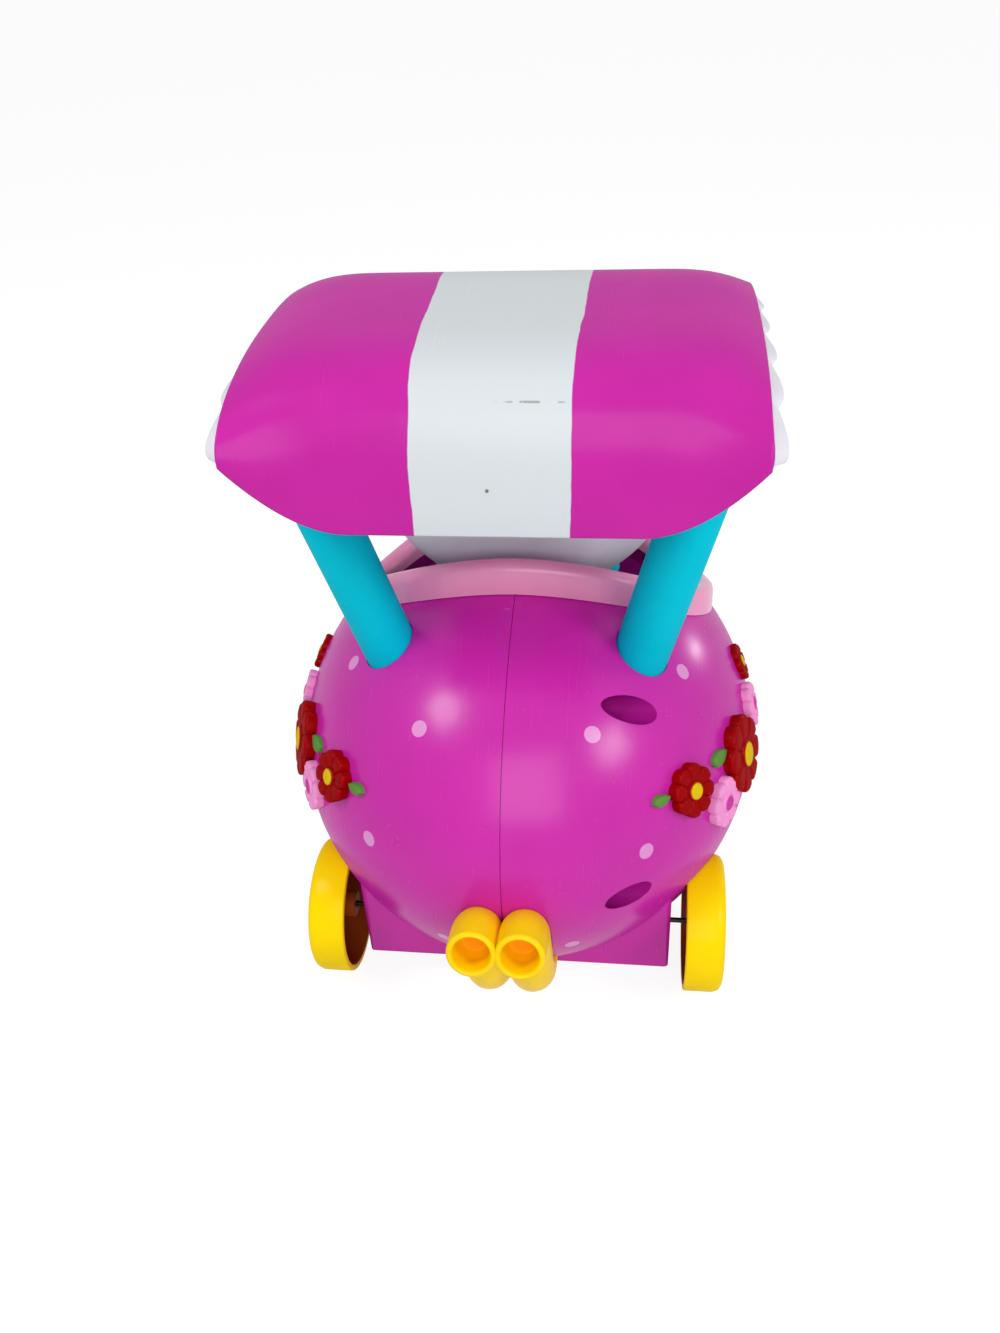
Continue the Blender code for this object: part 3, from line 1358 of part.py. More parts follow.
def flower_outline(radius):
    """Rounded petals as a polar curve."""
    steps = PETALS * PETAL_POINTS
    points = []
    for i in range(steps):
        angle = math.tau * i / steps
        lobe = abs(math.sin(PETALS * angle / 2))
        reach = radius * (1.0 - PETAL_DEPTH + PETAL_DEPTH * lobe)
        points.append((reach * math.cos(angle), reach * math.sin(angle)))
    return points


def leaf_outline(radius):
    """Pointed leaf."""
    return [(radius * 1.3, 0.0), (radius * 0.4, radius * 0.6), (-radius * 0.7, radius * 0.5),
            (-radius, 0.0), (-radius * 0.7, -radius * 0.5), (radius * 0.4, -radius * 0.6)]


def over_ball(spot, height):
    """Point over the ball's surface in line with a spot, out by a height square to the surface."""
    size = (BODY_HALF_WIDTH, BODY_HALF_LENGTH, BODY_HALF_HEIGHT)
    out = spot - Vector((0.0, 0.0, BODY_CENTRE_Z))
    out /= Vector([out[k] / size[k] for k in range(3)]).length
    normal = Vector([out[k] / size[k] ** 2 for k in range(3)]).normalized()
    return out + normal * height + Vector((0.0, 0.0, BODY_CENTRE_Z))


def relief(name, outline, place, thickness, sign, colour=None):
    """Raised shape that follows the body's side, its back sunk to be cut along the ball."""
    point, normal = place
    turn = normal.to_track_quat("Z", "Y").to_matrix()
    sunk = -thickness * FLOWER_SUNK
    levels = [(1.0, sunk), (FLOWER_DRAFT, thickness), (FLOWER_FLAT, thickness)]
    rings = []
    for share, height in levels:
        ring = []
        for u, v in outline:
            spot = over_ball(point + turn @ Vector((u * share, v * share, 0.0)), height)
            ring.append((sign * spot.x, spot.y, spot.z))
        rings.append(ring)
    return loft(name, rings, colour)


def make_flowers():
    """Flowers and leaves on both sides; each is cut back to clear the ones before it."""
    skin = ball("flower seat", GAP)
    for side, sign in (("left", -1.0), ("right", 1.0)):
        taken = []
        for name, along, up, radius, thickness, colour in FLOWERS:
            place = side_frame(along, up)
            flower = relief(f"{name}_{side}", flower_outline(radius), place, thickness, sign, colour)
            boolean(flower, skin)
            for other in taken:
                boolean(flower, other)
            taken.append(relief(f"{name} room {side}", flower_outline(radius + GAP), place,
                                thickness * FLOWER_ROOM, sign))
        for name, along, up, radius, thickness in LEAVES:
            leaf = relief(f"{name}_{side}", leaf_outline(radius), side_frame(along, up), thickness, sign,
                          "leaf_green")
            boolean(leaf, skin)
            for other in taken:
                boolean(leaf, other)


def parts_box():
    """Lowest and highest corner of all parts."""
    corners = []
    for obj in PARTS.objects:
        mesh = fixed_mesh(obj)
        corners += [obj.matrix_world @ vert.co for vert in mesh.vertices]
        bpy.data.meshes.remove(mesh)
    low = Vector([min(point[k] for point in corners) for k in range(3)])
    high = Vector([max(point[k] for point in corners) for k in range(3)])
    return low, high


def set_on_origin():
    """Moves everything so that the middle of its box stands over the origin."""
    low, high = parts_box()
    shift = Vector((-(low.x + high.x) / 2, -(low.y + high.y) / 2, -low.z))
    for obj in list(PARTS.objects) + list(CUTTERS.objects):
        obj.location += shift


def main():
    """Builds the whole car."""
    make_body()
    make_body_screws()
    make_rim()
    make_tub()
    make_seat()
    make_dashboard()
    make_steering()
    make_canopy()
    make_frill("canopy_frill_left", -1.0)
    make_frill("canopy_frill_right", 1.0)
    make_posts()
    make_exhaust()
    make_wheels()
    make_axles()
    make_gears()
    make_gearbox()
    make_motor()
    make_pan()
    make_door()
    make_batteries()
    make_switch()
    make_flowers()
    set_on_origin()


main()
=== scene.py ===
"""Looks of the doll-size toy car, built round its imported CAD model."""
import math

import bmesh
import bpy
from mathutils import Matrix, Vector


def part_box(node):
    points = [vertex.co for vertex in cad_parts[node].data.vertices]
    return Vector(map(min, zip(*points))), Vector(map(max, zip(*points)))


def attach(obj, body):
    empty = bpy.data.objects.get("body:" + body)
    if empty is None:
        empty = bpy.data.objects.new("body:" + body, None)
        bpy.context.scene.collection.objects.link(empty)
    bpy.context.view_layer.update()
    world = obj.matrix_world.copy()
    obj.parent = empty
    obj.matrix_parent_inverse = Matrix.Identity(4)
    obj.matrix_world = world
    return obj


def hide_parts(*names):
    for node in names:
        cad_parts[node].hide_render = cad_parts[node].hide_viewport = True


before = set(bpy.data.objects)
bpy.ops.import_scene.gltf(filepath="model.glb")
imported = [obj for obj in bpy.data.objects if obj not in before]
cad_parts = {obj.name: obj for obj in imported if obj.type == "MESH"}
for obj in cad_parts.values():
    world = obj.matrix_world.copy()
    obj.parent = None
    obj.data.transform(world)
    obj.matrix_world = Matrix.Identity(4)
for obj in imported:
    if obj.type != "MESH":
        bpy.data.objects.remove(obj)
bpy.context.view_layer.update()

bl_info = {
    "name": "Toy car looks",
    "version": (1, 0, 0),
    "blender": (4, 5, 0),
    "location": "View3D > Sidebar > Toy car",
    "description": "Dresses the packed toy car with finished pieces and moulded plastic materials",
    "category": "Object",
}

MM = 0.001


def middle_of(node):
    """Middle of a CAD node's box."""
    low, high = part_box(node)
    return (Vector(low) + Vector(high)) / 2


MID_Y = (middle_of("rear_axle").y + middle_of("front_axle").y) / 2
SIDES = (("left", -1.0), ("right", 1.0))

# Sizes that repeat the CAD model's, in metres, measured from the middle of the body
UNDERSIDE_Z = 12.7 * MM
SHELL_WALL = 2.5 * MM
GAP = 0.3 * MM
BODY_TAPER = 0.035
SKIRT_CORNER = 1.6 * MM
SKIRT_SIDE_GAP = 5.6 * MM
SKIRT_HALF_LENGTH = 73.2 * MM
WHEEL_ROOM = 0.8 * MM
AXLE_Y = (middle_of("front_axle").y - middle_of("rear_axle").y) / 2
AXLE_Z = middle_of("rear_axle").z
AXLE_BORE = 1.4 * MM
COCKPIT_Y = 30.0 * MM
COCKPIT_REAR = 54.5 * MM
COCKPIT_FRONT = 40.0 * MM
COCKPIT_EXPONENT = 2.5
RIM_LAND = 3.0 * MM
RIM_SEAT = 0.5 * MM
TUB_WALL = 2.0 * MM
TUB_FLOOR_Z = 78.0 * MM
TUB_TAPER = 9.0 * MM
SEAT_HALF = (58.0 * MM, 30.0 * MM, 58.0 * MM)
SEAT_CENTRE = (0.0, 18.0 * MM, 187.0 * MM)
SEAT_WALL = 2.4 * MM
SEAT_FOOT_HEIGHT = 60.0 * MM
POST_FOOT = (45.6 * MM, -34.7 * MM)
POST_LEAN = (0.247, -0.113)
POST_SUNK = 22.0 * MM
POST_TOP_Z = 214.0 * MM
SPIGOT_RADIUS = 5.0 * MM
SPIGOT_HEIGHT = 14.0 * MM
SOCKET_WALL = 2.0 * MM
CANOPY_Y = -10.0 * MM
CANOPY_WALL = 2.2 * MM
CANOPY_TOP_Z = 251.0 * MM
END_START = 44.0 * MM
# Arches over the canopy's middle and over its ends: half depth, height, lip's height, exponent, slant
MIDDLE_ARCH = (63.5 * MM, 47.4 * MM, 203.6 * MM, 4.5, 0.12)
END_ARCH = (65.0 * MM, 20.0 * MM, 226.0 * MM, 2.3, 0.0)
# Power of the blend from the one to the other at the lips, and its growth towards the top
ARCH_BLEND = 1.9
ARCH_BLEND_GROWTH = 1.8
PIPE_X = 8.1 * MM
PIPE_SLOT = 2.4 * MM
PIPE_ROUTE = tuple((y * MM, z * MM) for y, z in ((-73.5, 24.9), (-84.0, 23.7), (-94.5, 36.3),
                                                 (-100.5, 54.3), (-108.5, 69.0), (-122.7, 73.9)))
# The body screws' places: ahead and height
BODY_SCREWS = tuple((y * MM, z * MM) for y, z in ((-57.4, 127.2), (-89.6, 70.4), (89.6, 70.4)))
RECESS_RADIUS = 4.9 * MM
RECESS_FLOOR_X = 9.0 * MM
BOSS_RADIUS = 4.5 * MM
SCREW_BORE = 1.6 * MM
SCREW_TIP_X = -18.0 * MM
# Name, place ahead, height, radius, thickness and kind
FLOWERS = (
    ("flower_large_red", -35.5, 90.5, 14.5, 4.5, "red"),
    ("flower_small_red", -65.5, 99.0, 9.4, 4.5, "red"),
    ("flower_lower_pink", -54.0, 83.5, 9.4, 3.5, "pink"),
    ("flower_upper_pink", -9.0, 93.0, 8.6, 3.2, "pink"),
    ("flower_top_red", 4.0, 103.5, 7.4, 2.4, "red"),
)
LEAVES = (("leaf_small", -74.6, 101.8, 3.2, 2.5), ("leaf_large", -49.0, 99.5, 4.4, 2.0))

# Sizes of the scene alone
CUTTER_PAST = 30.0 * MM
WELD = 0.01 * MM
LIP_ROUND = 1.3 * MM
TONGUE_DEPTHS = (0.5 * MM, 2.2 * MM)
TONGUE_HALF = 0.1 * MM
TONGUE_FOOT_Z = UNDERSIDE_Z + 60.0 * MM
PLEATS = 6.0
FRILL_BAND = 0.4
FRILL_GAP = 0.6 * MM
FRILL_TUCK = 3.4 * MM
FRILL_HANG = 2.6 * MM
FRILL_WALL = 1.3 * MM
FRILL_STEPS = 256
STEERING_RADIUS = 13.0 * MM
BODY_SHINE = 0.52
# Painted dots: turn from the rear and height, both seen from the ball's middle, in radians
DOTS = ((1.113, 0.733), (0.452, 0.722), (0.583, 0.189), (0.278, -0.301))
DOT_RADIUS = 2.9 * MM


def linear(text):
    """Linear RGBA of an sRGB hex colour."""
    values = []
    for i in (1, 3, 5):
        share = int(text[i:i + 2], 16) / 255
        values.append(share / 12.92 if share <= 0.04045 else ((share + 0.055) / 1.055) ** 2.4)
    return (*values, 1.0)


def length(name, description, default):
    """Length property in metres."""
    return bpy.props.FloatProperty(name=name, description=description, default=default, unit="LENGTH",
                                   precision=4)


def paint(name, description, default):
    """Colour property from an sRGB hex default."""
    return bpy.props.FloatVectorProperty(name=name, description=description, size=4, subtype="COLOR",
                                         min=0.0, max=1.0, default=linear(default))


class CarSizes(bpy.types.PropertyGroup):
    """Sizes of the finished pieces."""
    body_half_width: length("Body half width", "Half width of the ball body", 90.0 * MM)
    body_half_length: length("Body half length", "Half length of the ball body", 102.7 * MM)
    body_half_height: length("Body half height", "Half height of the ball body", 82.2 * MM)
    body_centre_z: length("Body centre height", "Height of the ball's middle", 71.4 * MM)
    wheel_radius: length("Wheel radius", "Outer radius of a wheel", 26.2 * MM)
    wheel_width: length("Wheel width", "Width of a wheel", 14.4 * MM)
    wheel_inner_x: length("Wheel inner place", "Distance from the middle to a wheel's inner face", 64.4 * MM)
    cockpit_half_width: length("Cockpit half width", "Half width of the cockpit's outline", 73.0 * MM)
    rim_width: length("Rim width", "Width of the pink rim", 8.0 * MM)
    rim_height: length("Rim height", "Height of the pink rim", 12.0 * MM)
    post_radius: length("Post radius", "Radius of a canopy post", 9.8 * MM)
    canopy_half_width: length("Canopy half width", "Half width of the canopy", 79.0 * MM)
    pipe_radius: length("Pipe radius", "Outer radius of an exhaust pipe", 8.5 * MM)
    pipe_bore: length("Pipe bore", "Radius of an exhaust pipe's mouth", 6.3 * MM)


class CarColours(bpy.types.PropertyGroup):
    """Colours of the plastics and paints."""
    body: paint("Body", "Magenta of the body", "#C524A3")
    canopy: paint("Canopy", "Magenta of the canopy", "#C0239C")
    stripe: paint("Stripe", "Pale stripe across the canopy", "#CFD5D8")
    inner: paint("Cockpit", "Dark magenta of the cockpit and chassis", "#8E0F74")
    dots: paint("Dots", "Painted dots on the body", "#DC90CA")
    rim: paint("Rim", "Pink of the cockpit's rim", "#EC94BE")
    teal: paint("Posts", "Teal of the posts and the steering wheel", "#00C6DC")
    yellow: paint("Wheels", "Yellow of the wheels", "#FFDA02")
    pipe: paint("Exhaust", "Warm yellow of the exhaust", "#FFD503")
    # Painted shade and bounce light deep in the exhaust's mouths
    bore: paint("Exhaust mouths", "Orange that shows deep in the exhaust's mouths", "#FFA205")
    white: paint("Frill", "White of the canopy's frill", "#E2E2EA")
    seat: paint("Seat", "Pale grey of the seat", "#E4E6F0")
    red: paint("Red flowers", "Red of the flowers", "#980206")
    pink: paint("Pink flowers", "Pink of the flowers", "#F39BD4")
    heart: paint("Flower hearts", "Yellow of the red flowers' hearts", "#DDBB10")
    leaf: paint("Leaves", "Green of the leaves", "#5A8A3A")


def sizes():
    """The scene's sizes."""
    return bpy.context.scene.car_sizes


def colours():
    """The scene's colours."""
    return bpy.context.scene.car_colours


# Shapes shared by several pieces

def signed_power(value, power):
    """Power of the absolute value, with the value's sign."""
    return math.copysign(abs(value) ** power, value)


def ball_top(x, y):
    """Height of the ball's upper surface over a point of the plan."""
    s = sizes()
    share = (x / s.body_half_width) ** 2 + (y / s.body_half_length) ** 2
    return s.body_centre_z + s.body_half_height * math.sqrt(max(0.0, 1.0 - share))


def ball_side(y, z):
    """Half width of the ball at a place ahead and a height."""
    s = sizes()
    share = (y / s.body_half_length) ** 2 + ((z - s.body_centre_z) / s.body_half_height) ** 2
    return s.body_half_width * math.sqrt(max(0.0, 1.0 - share))


def cockpit_point(angle, offset):
    """Plan point of the cockpit's outline, moved outward by offset."""
    depth = COCKPIT_REAR if math.sin(angle) < 0 else COCKPIT_FRONT
    power = 2.0 / COCKPIT_EXPONENT
    x = (sizes().cockpit_half_width + offset) * signed_power(math.cos(angle), power)
    return x, COCKPIT_Y + (depth + offset) * signed_power(math.sin(angle), power)


def post_point(sign, z):
    """Point of a post's centre line at a height."""
    rise = z - ball_top(*POST_FOOT)
    return Vector((sign * (POST_FOOT[0] + POST_LEAN[0] * rise), POST_FOOT[1] + POST_LEAN[1] * rise, z))


def arch(angle, half_depth, height, lip, exponent, slant):
    """Point of a superellipse arch; angle 0 is the rear lip and pi the front lip."""
    power = 2.0 / exponent
    rise = max(0.0, math.sin(angle)) ** power
    reach = half_depth * (1.0 - slant * rise) * signed_power(math.cos(angle), power)
    return Vector((CANOPY_Y - reach, lip + height * rise))


def canopy_point(x, angle):
    """Point of the canopy's outer sheet."""
    run = (abs(x) - END_START) / (sizes().canopy_half_width - END_START)
    rise = max(0.0, math.sin(angle))
    blend = min(1.0, max(0.0, run) ** (ARCH_BLEND + ARCH_BLEND_GROWTH * rise))
    y, z = arch(angle, *MIDDLE_ARCH).lerp(arch(angle, *END_ARCH), blend)
    return Vector((x, y, z))


def canopy_inside(x, angle, depth):
    """Point under the canopy's outer sheet, at a depth square to it."""
    step = 0.001
    point = canopy_point(x, angle)
    across = canopy_point(x + GAP, angle) - canopy_point(x - GAP, angle)
    along = canopy_point(x, min(math.pi, angle + step)) - canopy_point(x, max(0.0, angle - step))
    return point - across.cross(along).normalized() * depth


def canopy_angle(share):
    """Angle over the arch for a share of its run, closer together round its two ridges."""
    return math.pi * (share - math.sin(4.0 * math.pi * share) / (8.0 * math.pi))


# Meshes

def mesh_object(name, bm):
    """Loose object of a bmesh, which is freed."""
    mesh = bpy.data.meshes.new(name)
    bm.to_mesh(mesh)
    bm.free()
    return place_object(name, mesh)


def place_object(name, data):
    """Object with that data, linked to the scene."""
    obj = bpy.data.objects.new(name, data)
    bpy.context.scene.collection.objects.link(obj)
    return obj


def mesh_from(obj):
    """Bmesh of an object, which is removed."""
    bm = bmesh.new()
    bm.from_mesh(obj.data)
    bpy.data.objects.remove(obj)
    return bm


def facing(spot, axis, track="Z"):
    """Placement at a spot, with the tracking axis turned along another."""
    return Matrix.Translation(spot) @ axis.to_track_quat(track, "Y").to_matrix().to_4x4()


def cylinder(start, end, radius, segments):
    """Bmesh of a cylinder between two points."""
    start = Vector(start)
    axis = Vector(end) - start
    bm = bmesh.new()
    bmesh.ops.create_cone(bm, cap_ends=True, segments=segments, radius1=radius, radius2=radius,
                          depth=axis.length, matrix=facing(start + axis / 2, axis))
    return bm


def upright(spot, low, high, radius, segments):
    """Bmesh of an upright cylinder through a spot, between two heights."""
    return cylinder((spot.x, spot.y, low), (spot.x, spot.y, high), radius, segments)


def crosswise(start, end, y, z, radius, segments):
    """Bmesh of a cylinder along X, between two places."""
    return cylinder((start, y, z), (end, y, z), radius, segments)


def box(low, high):
    """Bmesh of a box between two corners."""
    low = Vector(low)
    high = Vector(high)
    bm = bmesh.new()
    bmesh.ops.create_cube(bm, size=1.0)
    bmesh.ops.scale(bm, vec=high - low, verts=bm.verts)
    bmesh.ops.translate(bm, vec=(high + low) / 2, verts=bm.verts)
    return bm


def round_edges(bm, edges, width, segments=3):
    """Bevels the edges of a bmesh."""
    bmesh.ops.bevel(bm, geom=edges, offset=width, segments=segments, profile=0.5, affect="EDGES",
                    material=-1, clamp_overlap=True)


def loft(rings, wrap=False):
    """Bmesh bridged over rings of points, closed at its ends or into a loop."""
    bm = bmesh.new()
    loops = []
    for ring in rings:
        verts = [bm.verts.new(point) for point in ring]
        loops.append([bm.edges.new((verts[i], verts[(i + 1) % len(verts)])) for i in range(len(verts))])
    pairs = list(zip(loops, loops[1:]))
    if wrap:
        pairs.append((loops[-1], loops[0]))
    for lower, upper in pairs:
        bmesh.ops.bridge_loops(bm, edges=lower + upper)
    if not wrap:
        bmesh.ops.contextual_create(bm, geom=loops[0])
        bmesh.ops.contextual_create(bm, geom=loops[-1])
    bmesh.ops.recalc_face_normals(bm, faces=bm.faces)
    return bm


def polyline(points):
    """Bmesh of an open line through points."""
    bm = bmesh.new()
    verts = [bm.verts.new(point) for point in points]
    for pair in zip(verts, verts[1:]):
        bm.edges.new(pair)
    return bm


def weld(bm):
    """Joins the vertices that coincide and turns the faces outward."""
    bmesh.ops.remove_doubles(bm, verts=bm.verts, dist=WELD)
    bmesh.ops.recalc_face_normals(bm, faces=bm.faces)
    return bm


def spin_round(bm, centre, axis, steps):
    """Spins a bmesh's profile fully round an axis."""
    bmesh.ops.spin(bm, geom=bm.verts[:] + bm.edges[:], cent=centre, axis=axis, angle=math.tau, steps=steps,
                   use_merge=True)
    return weld(bm)


def boolean(obj, bm, operation="DIFFERENCE"):
    """Cuts, joins or keeps the common part of an object and a bmesh."""
    cutter = mesh_object("cutter", bm)
    modified(obj, "BOOLEAN", operation=operation, solver="EXACT", object=cutter)
    bpy.data.objects.remove(cutter)
    return obj


def modified(obj, kind, **settings):
    """Runs a modifier over the object and makes the result its own mesh."""
    modifier = obj.modifiers.new(kind.title(), kind)
    for key, value in settings.items():
        setattr(modifier, key, value)
    bpy.context.view_layer.update()
    graph = bpy.context.evaluated_depsgraph_get()
    mesh = bpy.data.meshes.new_from_object(obj.evaluated_get(graph))
    obj.modifiers.clear()
    obj.data = mesh
    return obj


def thicken(obj, thickness):
    """Gives a sheet its wall, away from its normals."""
    return modified(obj, "SOLIDIFY", thickness=thickness, offset=-1.0, use_even_offset=True)


def soften(obj, width, segments=2, angle=40.0):
    """Rounds the object's sharp edges."""
    return modified(obj, "BEVEL", width=width, segments=segments, limit_method="ANGLE",
                    angle_limit=math.radians(angle), use_clamp_overlap=True)


def finish_piece(obj, name, material, body, slot, *nodes, angle=32.0):
    """Names, dresses and places a finished piece, parents it to the body it rides on and hides the CAD nodes
    it stands for.
    """
    obj.name = name
    mesh = obj.data
    mesh.name = name
    mesh.transform(Matrix.Translation((0.0, MID_Y, 0.0)))
    mesh.materials.clear()
    mesh.materials.append(material)
    mesh.shade_smooth()
    mesh.set_sharp_from_angle(angle=math.radians(angle))
    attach(obj, body)
    if nodes:
        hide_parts(*nodes)
    return obj


# Materials

def add_node(tree, kind, settings=None, values=None, links=None):
    """Adds a node with its settings, input values and links, given as input name to socket."""
    node = tree.nodes.new(kind)
    for key, value in (settings or {}).items():
        setattr(node, key, value)
    for key, value in (values or {}).items():
        node.inputs[key].default_value = value
    for key, socket in (links or {}).items():
        tree.links.new(socket, node.inputs[key])
    return node


def ramp(tree, value, low, high, start=0.0, end=1.0):
    """Value drawn from the range low to high onto start to end, and kept within it."""
    node = add_node(tree, "ShaderNodeMapRange", links={"Value": value},
                    values={"From Min": low, "From Max": high, "To Min": start, "To Max": end})
    return node.outputs[0]


def noise(tree, place, scale, detail, roughness=0.5):
    """Cloudy noise over a place."""
    values = {"Scale": scale, "Detail": detail, "Roughness": roughness}
    return add_node(tree, "ShaderNodeTexNoise", values=values, links={"Vector": place}).outputs["Fac"]


def maths(tree, operation, *sockets, values=None):
    """Result of a maths node over the sockets."""
    node = add_node(tree, "ShaderNodeMath", {"operation": operation}, values, dict(enumerate(sockets)))
    return node.outputs[0]


def moulded(name, colour, roughness, grain=0.012, shine=0.24, marks=0.5):
    """Moulded or sprayed plastic: returns its material, node tree, shader and colour socket."""
    material = bpy.data.materials.new(name)
    material.use_nodes = True
    tree = material.node_tree
    shader = tree.nodes["Principled BSDF"]
    shader.inputs["IOR"].default_value = 1.49
    # The polished skin of the moulding or the spray's clear top carries all of the shine
    shader.inputs["Specular IOR Level"].default_value = 0.0
    shader.inputs["Coat Weight"].default_value = shine
    place = add_node(tree, "ShaderNodeTexCoord").outputs["Object"]
    # Cloudy shade of the pigment, about 25 mm across
    shade = ramp(tree, noise(tree, place, 40.0, 3.0), 0.3, 0.7, 0.955, 1.03)
    tint = add_node(tree, "ShaderNodeHueSaturation", values={"Color": colour}, links={"Value": shade})
    # Specks of dust and tiny pits, about 0.4 mm across and 9 mm apart
    cells = add_node(tree, "ShaderNodeTexVoronoi", values={"Scale": 110.0}, links={"Vector": place})
    speck = ramp(tree, cells.outputs["Distance"], 0.02, 0.035, marks, 0.0)
    pick = add_node(tree, "ShaderNodeSeparateColor", links={"Color": cells.outputs["Color"]})
    chosen = maths(tree, "GREATER_THAN", pick.outputs["Red"], values={1: 0.72})
    dark = [value * 0.35 for value in colour[:3]] + [1.0]
    dusted = paint_over(tree, shader, tint.outputs["Color"], maths(tree, "MULTIPLY", speck, chosen), dark)
    # Handling wear: patches of finer and duller shine, about 12 mm across, and hairline scratches
    dull = ramp(tree, noise(tree, place, 85.0, 4.0, 0.6), 0.3, 0.7, roughness - 0.03, roughness + 0.03)
    stretch = add_node(tree, "ShaderNodeMapping", links={"Vector": place},
                       values={"Rotation": (0.3, 0.5, 0.9), "Scale": (900.0, 26.0, 60.0)})
    hair = noise(tree, stretch.outputs["Vector"], 1.0, 2.0)
    rough = maths(tree, "ADD", dull, ramp(tree, hair, 0.68, 0.74, 0.0, 0.14 * marks))
    for key in ("Roughness", "Coat Roughness"):
        tree.links.new(rough, shader.inputs[key])
    # Orange peel of the spray coat or the mould's fine grain, about 1 mm
    bump = add_node(tree, "ShaderNodeBump", values={"Strength": 0.5, "Distance": grain * MM},
                    links={"Height": noise(tree, place, 900.0, 2.0)})
    tree.links.new(bump.outputs["Normal"], shader.inputs["Normal"])
    return material, tree, shader, dusted


def within(tree, centre, radius, soft, scale=(1.0, 1.0, 1.0)):
    """Mask of 1 inside a ball of that radius round a point, drawn out where an axis' scale is small."""
    spot = add_node(tree, "ShaderNodeTexCoord").outputs["Object"]
    for operation, value in (("SUBTRACT", centre), ("MULTIPLY", scale)):
        moved = add_node(tree, "ShaderNodeVectorMath", {"operation": operation}, {1: value}, {0: spot})
        spot = moved.outputs["Vector"]
    size = add_node(tree, "ShaderNodeVectorMath", {"operation": "LENGTH"}, links={0: spot})
    return ramp(tree, size.outputs["Value"], radius - soft, radius + soft, 1.0, 0.0)


def largest(tree, masks):
    """Largest of several masks."""
    whole = masks[0]
    for mask in masks[1:]:
        whole = maths(tree, "MAXIMUM", whole, mask)
    return whole


def paint_over(tree, shader, under, mask, colour):
    """Paints a colour over the shader's base colour where the mask is 1."""
    mix = add_node(tree, "ShaderNodeMix", {"data_type": "RGBA"}, {"B": colour}, {"Factor": mask, "A": under})
    tree.links.new(mix.outputs["Result"], shader.inputs["Base Color"])
    return mix.outputs["Result"]


def plain(name, text, roughness, metallic=0.0, grain=0.01):
    """Small hidden or metal piece: one sRGB hex colour with a fine grain."""
    material, _, shader, _ = moulded(name, linear(text), roughness, grain, marks=0.2)
    shader.inputs["Metallic"].default_value = metallic
    return material


def shared(name, colour, roughness, shine=0.24):
    """Plastic of one colour, made once for several pieces."""
    return bpy.data.materials.get(name) or moulded(name, colour, roughness, shine=shine)[0]


# Operators

class StageOperator(bpy.types.Operator):
    """Floor, soft light and camera"""
    bl_idname = "toycar.stage"
    bl_label = "Stage"

    def execute(self, context):
        make_floor()
        make_lights()
        make_camera()
        return {"FINISHED"}


def background_rays(tree):
    """Mask of 1 on the rays that should show the white background."""
    path = add_node(tree, "ShaderNodeLightPath")
    kinds = ("Is Camera Ray", "Is Glossy Ray", "Is Transmission Ray")
    return largest(tree, [path.outputs[kind] for kind in kinds])


def make_floor():
    """Pale floor that keeps a faint shadow."""
    bm = bmesh.new()
    bmesh.ops.create_grid(bm, x_segments=1, y_segments=1, size=6.0)
    floor = mesh_object("floor", bm)
    material = bpy.data.materials.new("white paper sweep")
    material.use_nodes = True
    tree = material.node_tree
    output = tree.nodes["Material Output"]
    tree.nodes.remove(tree.nodes["Principled BSDF"])
    paper = add_node(tree, "ShaderNodeBsdfDiffuse", values={"Color": linear("#D8D8D8")})
    glow = add_node(tree, "ShaderNodeEmission", values={"Color": (1.0, 1.0, 1.0, 1.0), "Strength": 1.26})
    # A glow over the paper makes it white to the eye and keeps a faint shadow
    veil = add_node(tree, "ShaderNodeMixShader", values={0: 0.7},
                    links={1: paper.outputs[0], 2: glow.outputs[0]})
    surface = add_node(tree, "ShaderNodeMixShader",
                       links={0: background_rays(tree), 1: paper.outputs[0], 2: veil.outputs[0]})
    tree.links.new(surface.outputs[0], output.inputs["Surface"])
    floor.data.materials.append(material)


def make_lights():
    """Even sky, a large soft lamp behind the camera and three small ones that draw the highlights."""
    world = bpy.data.worlds.new("studio")
    bpy.context.scene.world = world
    world.use_nodes = True
    tree = world.node_tree
    back = tree.nodes["Background"]
    back.inputs["Color"].default_value = (1.0, 1.0, 1.0, 1.0)
    # The sky lights the car softly but shows as white
    level = ramp(tree, background_rays(tree), 0.0, 1.0, 0.38, 1.0)
    tree.links.new(level, back.inputs["Strength"])
    # Name, place and size in metres, and power in watts
    lamps = (("key", (0.15, -1.1, 0.8), 0.8, 6.4), ("left", (-0.63, -0.29, 0.98), 0.28, 3.7),
             ("right", (0.8, -0.43, 0.75), 0.28, 3.5), ("low", (0.78, 0.61, 0.25), 0.1, 0.8))
    for name, spot, size, power in lamps:
        light = bpy.data.lights.new(name, "AREA")
        light.size = size
        light.energy = power
        aim = Vector((0.0, 0.0, 0.12)) - Vector(spot)
        place_object(name, light).matrix_world = facing(spot, aim, "-Z")


def make_camera():
    """Camera behind and above the car, a little to its right, as fitted to the photo."""
    yaw, pitch, roll = (math.radians(angle) for angle in (8.42, 36.55, 3.49))
    data = bpy.data.cameras.new("camera")
    data.sensor_fit = "HORIZONTAL"
    data.sensor_width = 36.0
    data.lens = 41.288
    data.clip_start = 0.01
    camera = place_object("camera", data)
    spot = Vector((43.33 * MM, -364.39 * MM + MID_Y, 374.25 * MM))
    turn = Matrix.Rotation(yaw, 4, "Z") @ Matrix.Rotation(math.pi / 2 - pitch, 4, "X")
    camera.matrix_world = Matrix.Translation(spot) @ turn @ Matrix.Rotation(-roll, 4, "Z")
    bpy.context.scene.camera = camera
    bpy.context.scene.view_settings.view_transform = "Standard"


class BodyOperator(bpy.types.Operator):
    """Ball body in two halves, with its skirt, screw recesses and painted dots"""
    bl_idname = "toycar.body"
    bl_label = "Body"

    def execute(self, context):
        make_body()
        return {"FINISHED"}


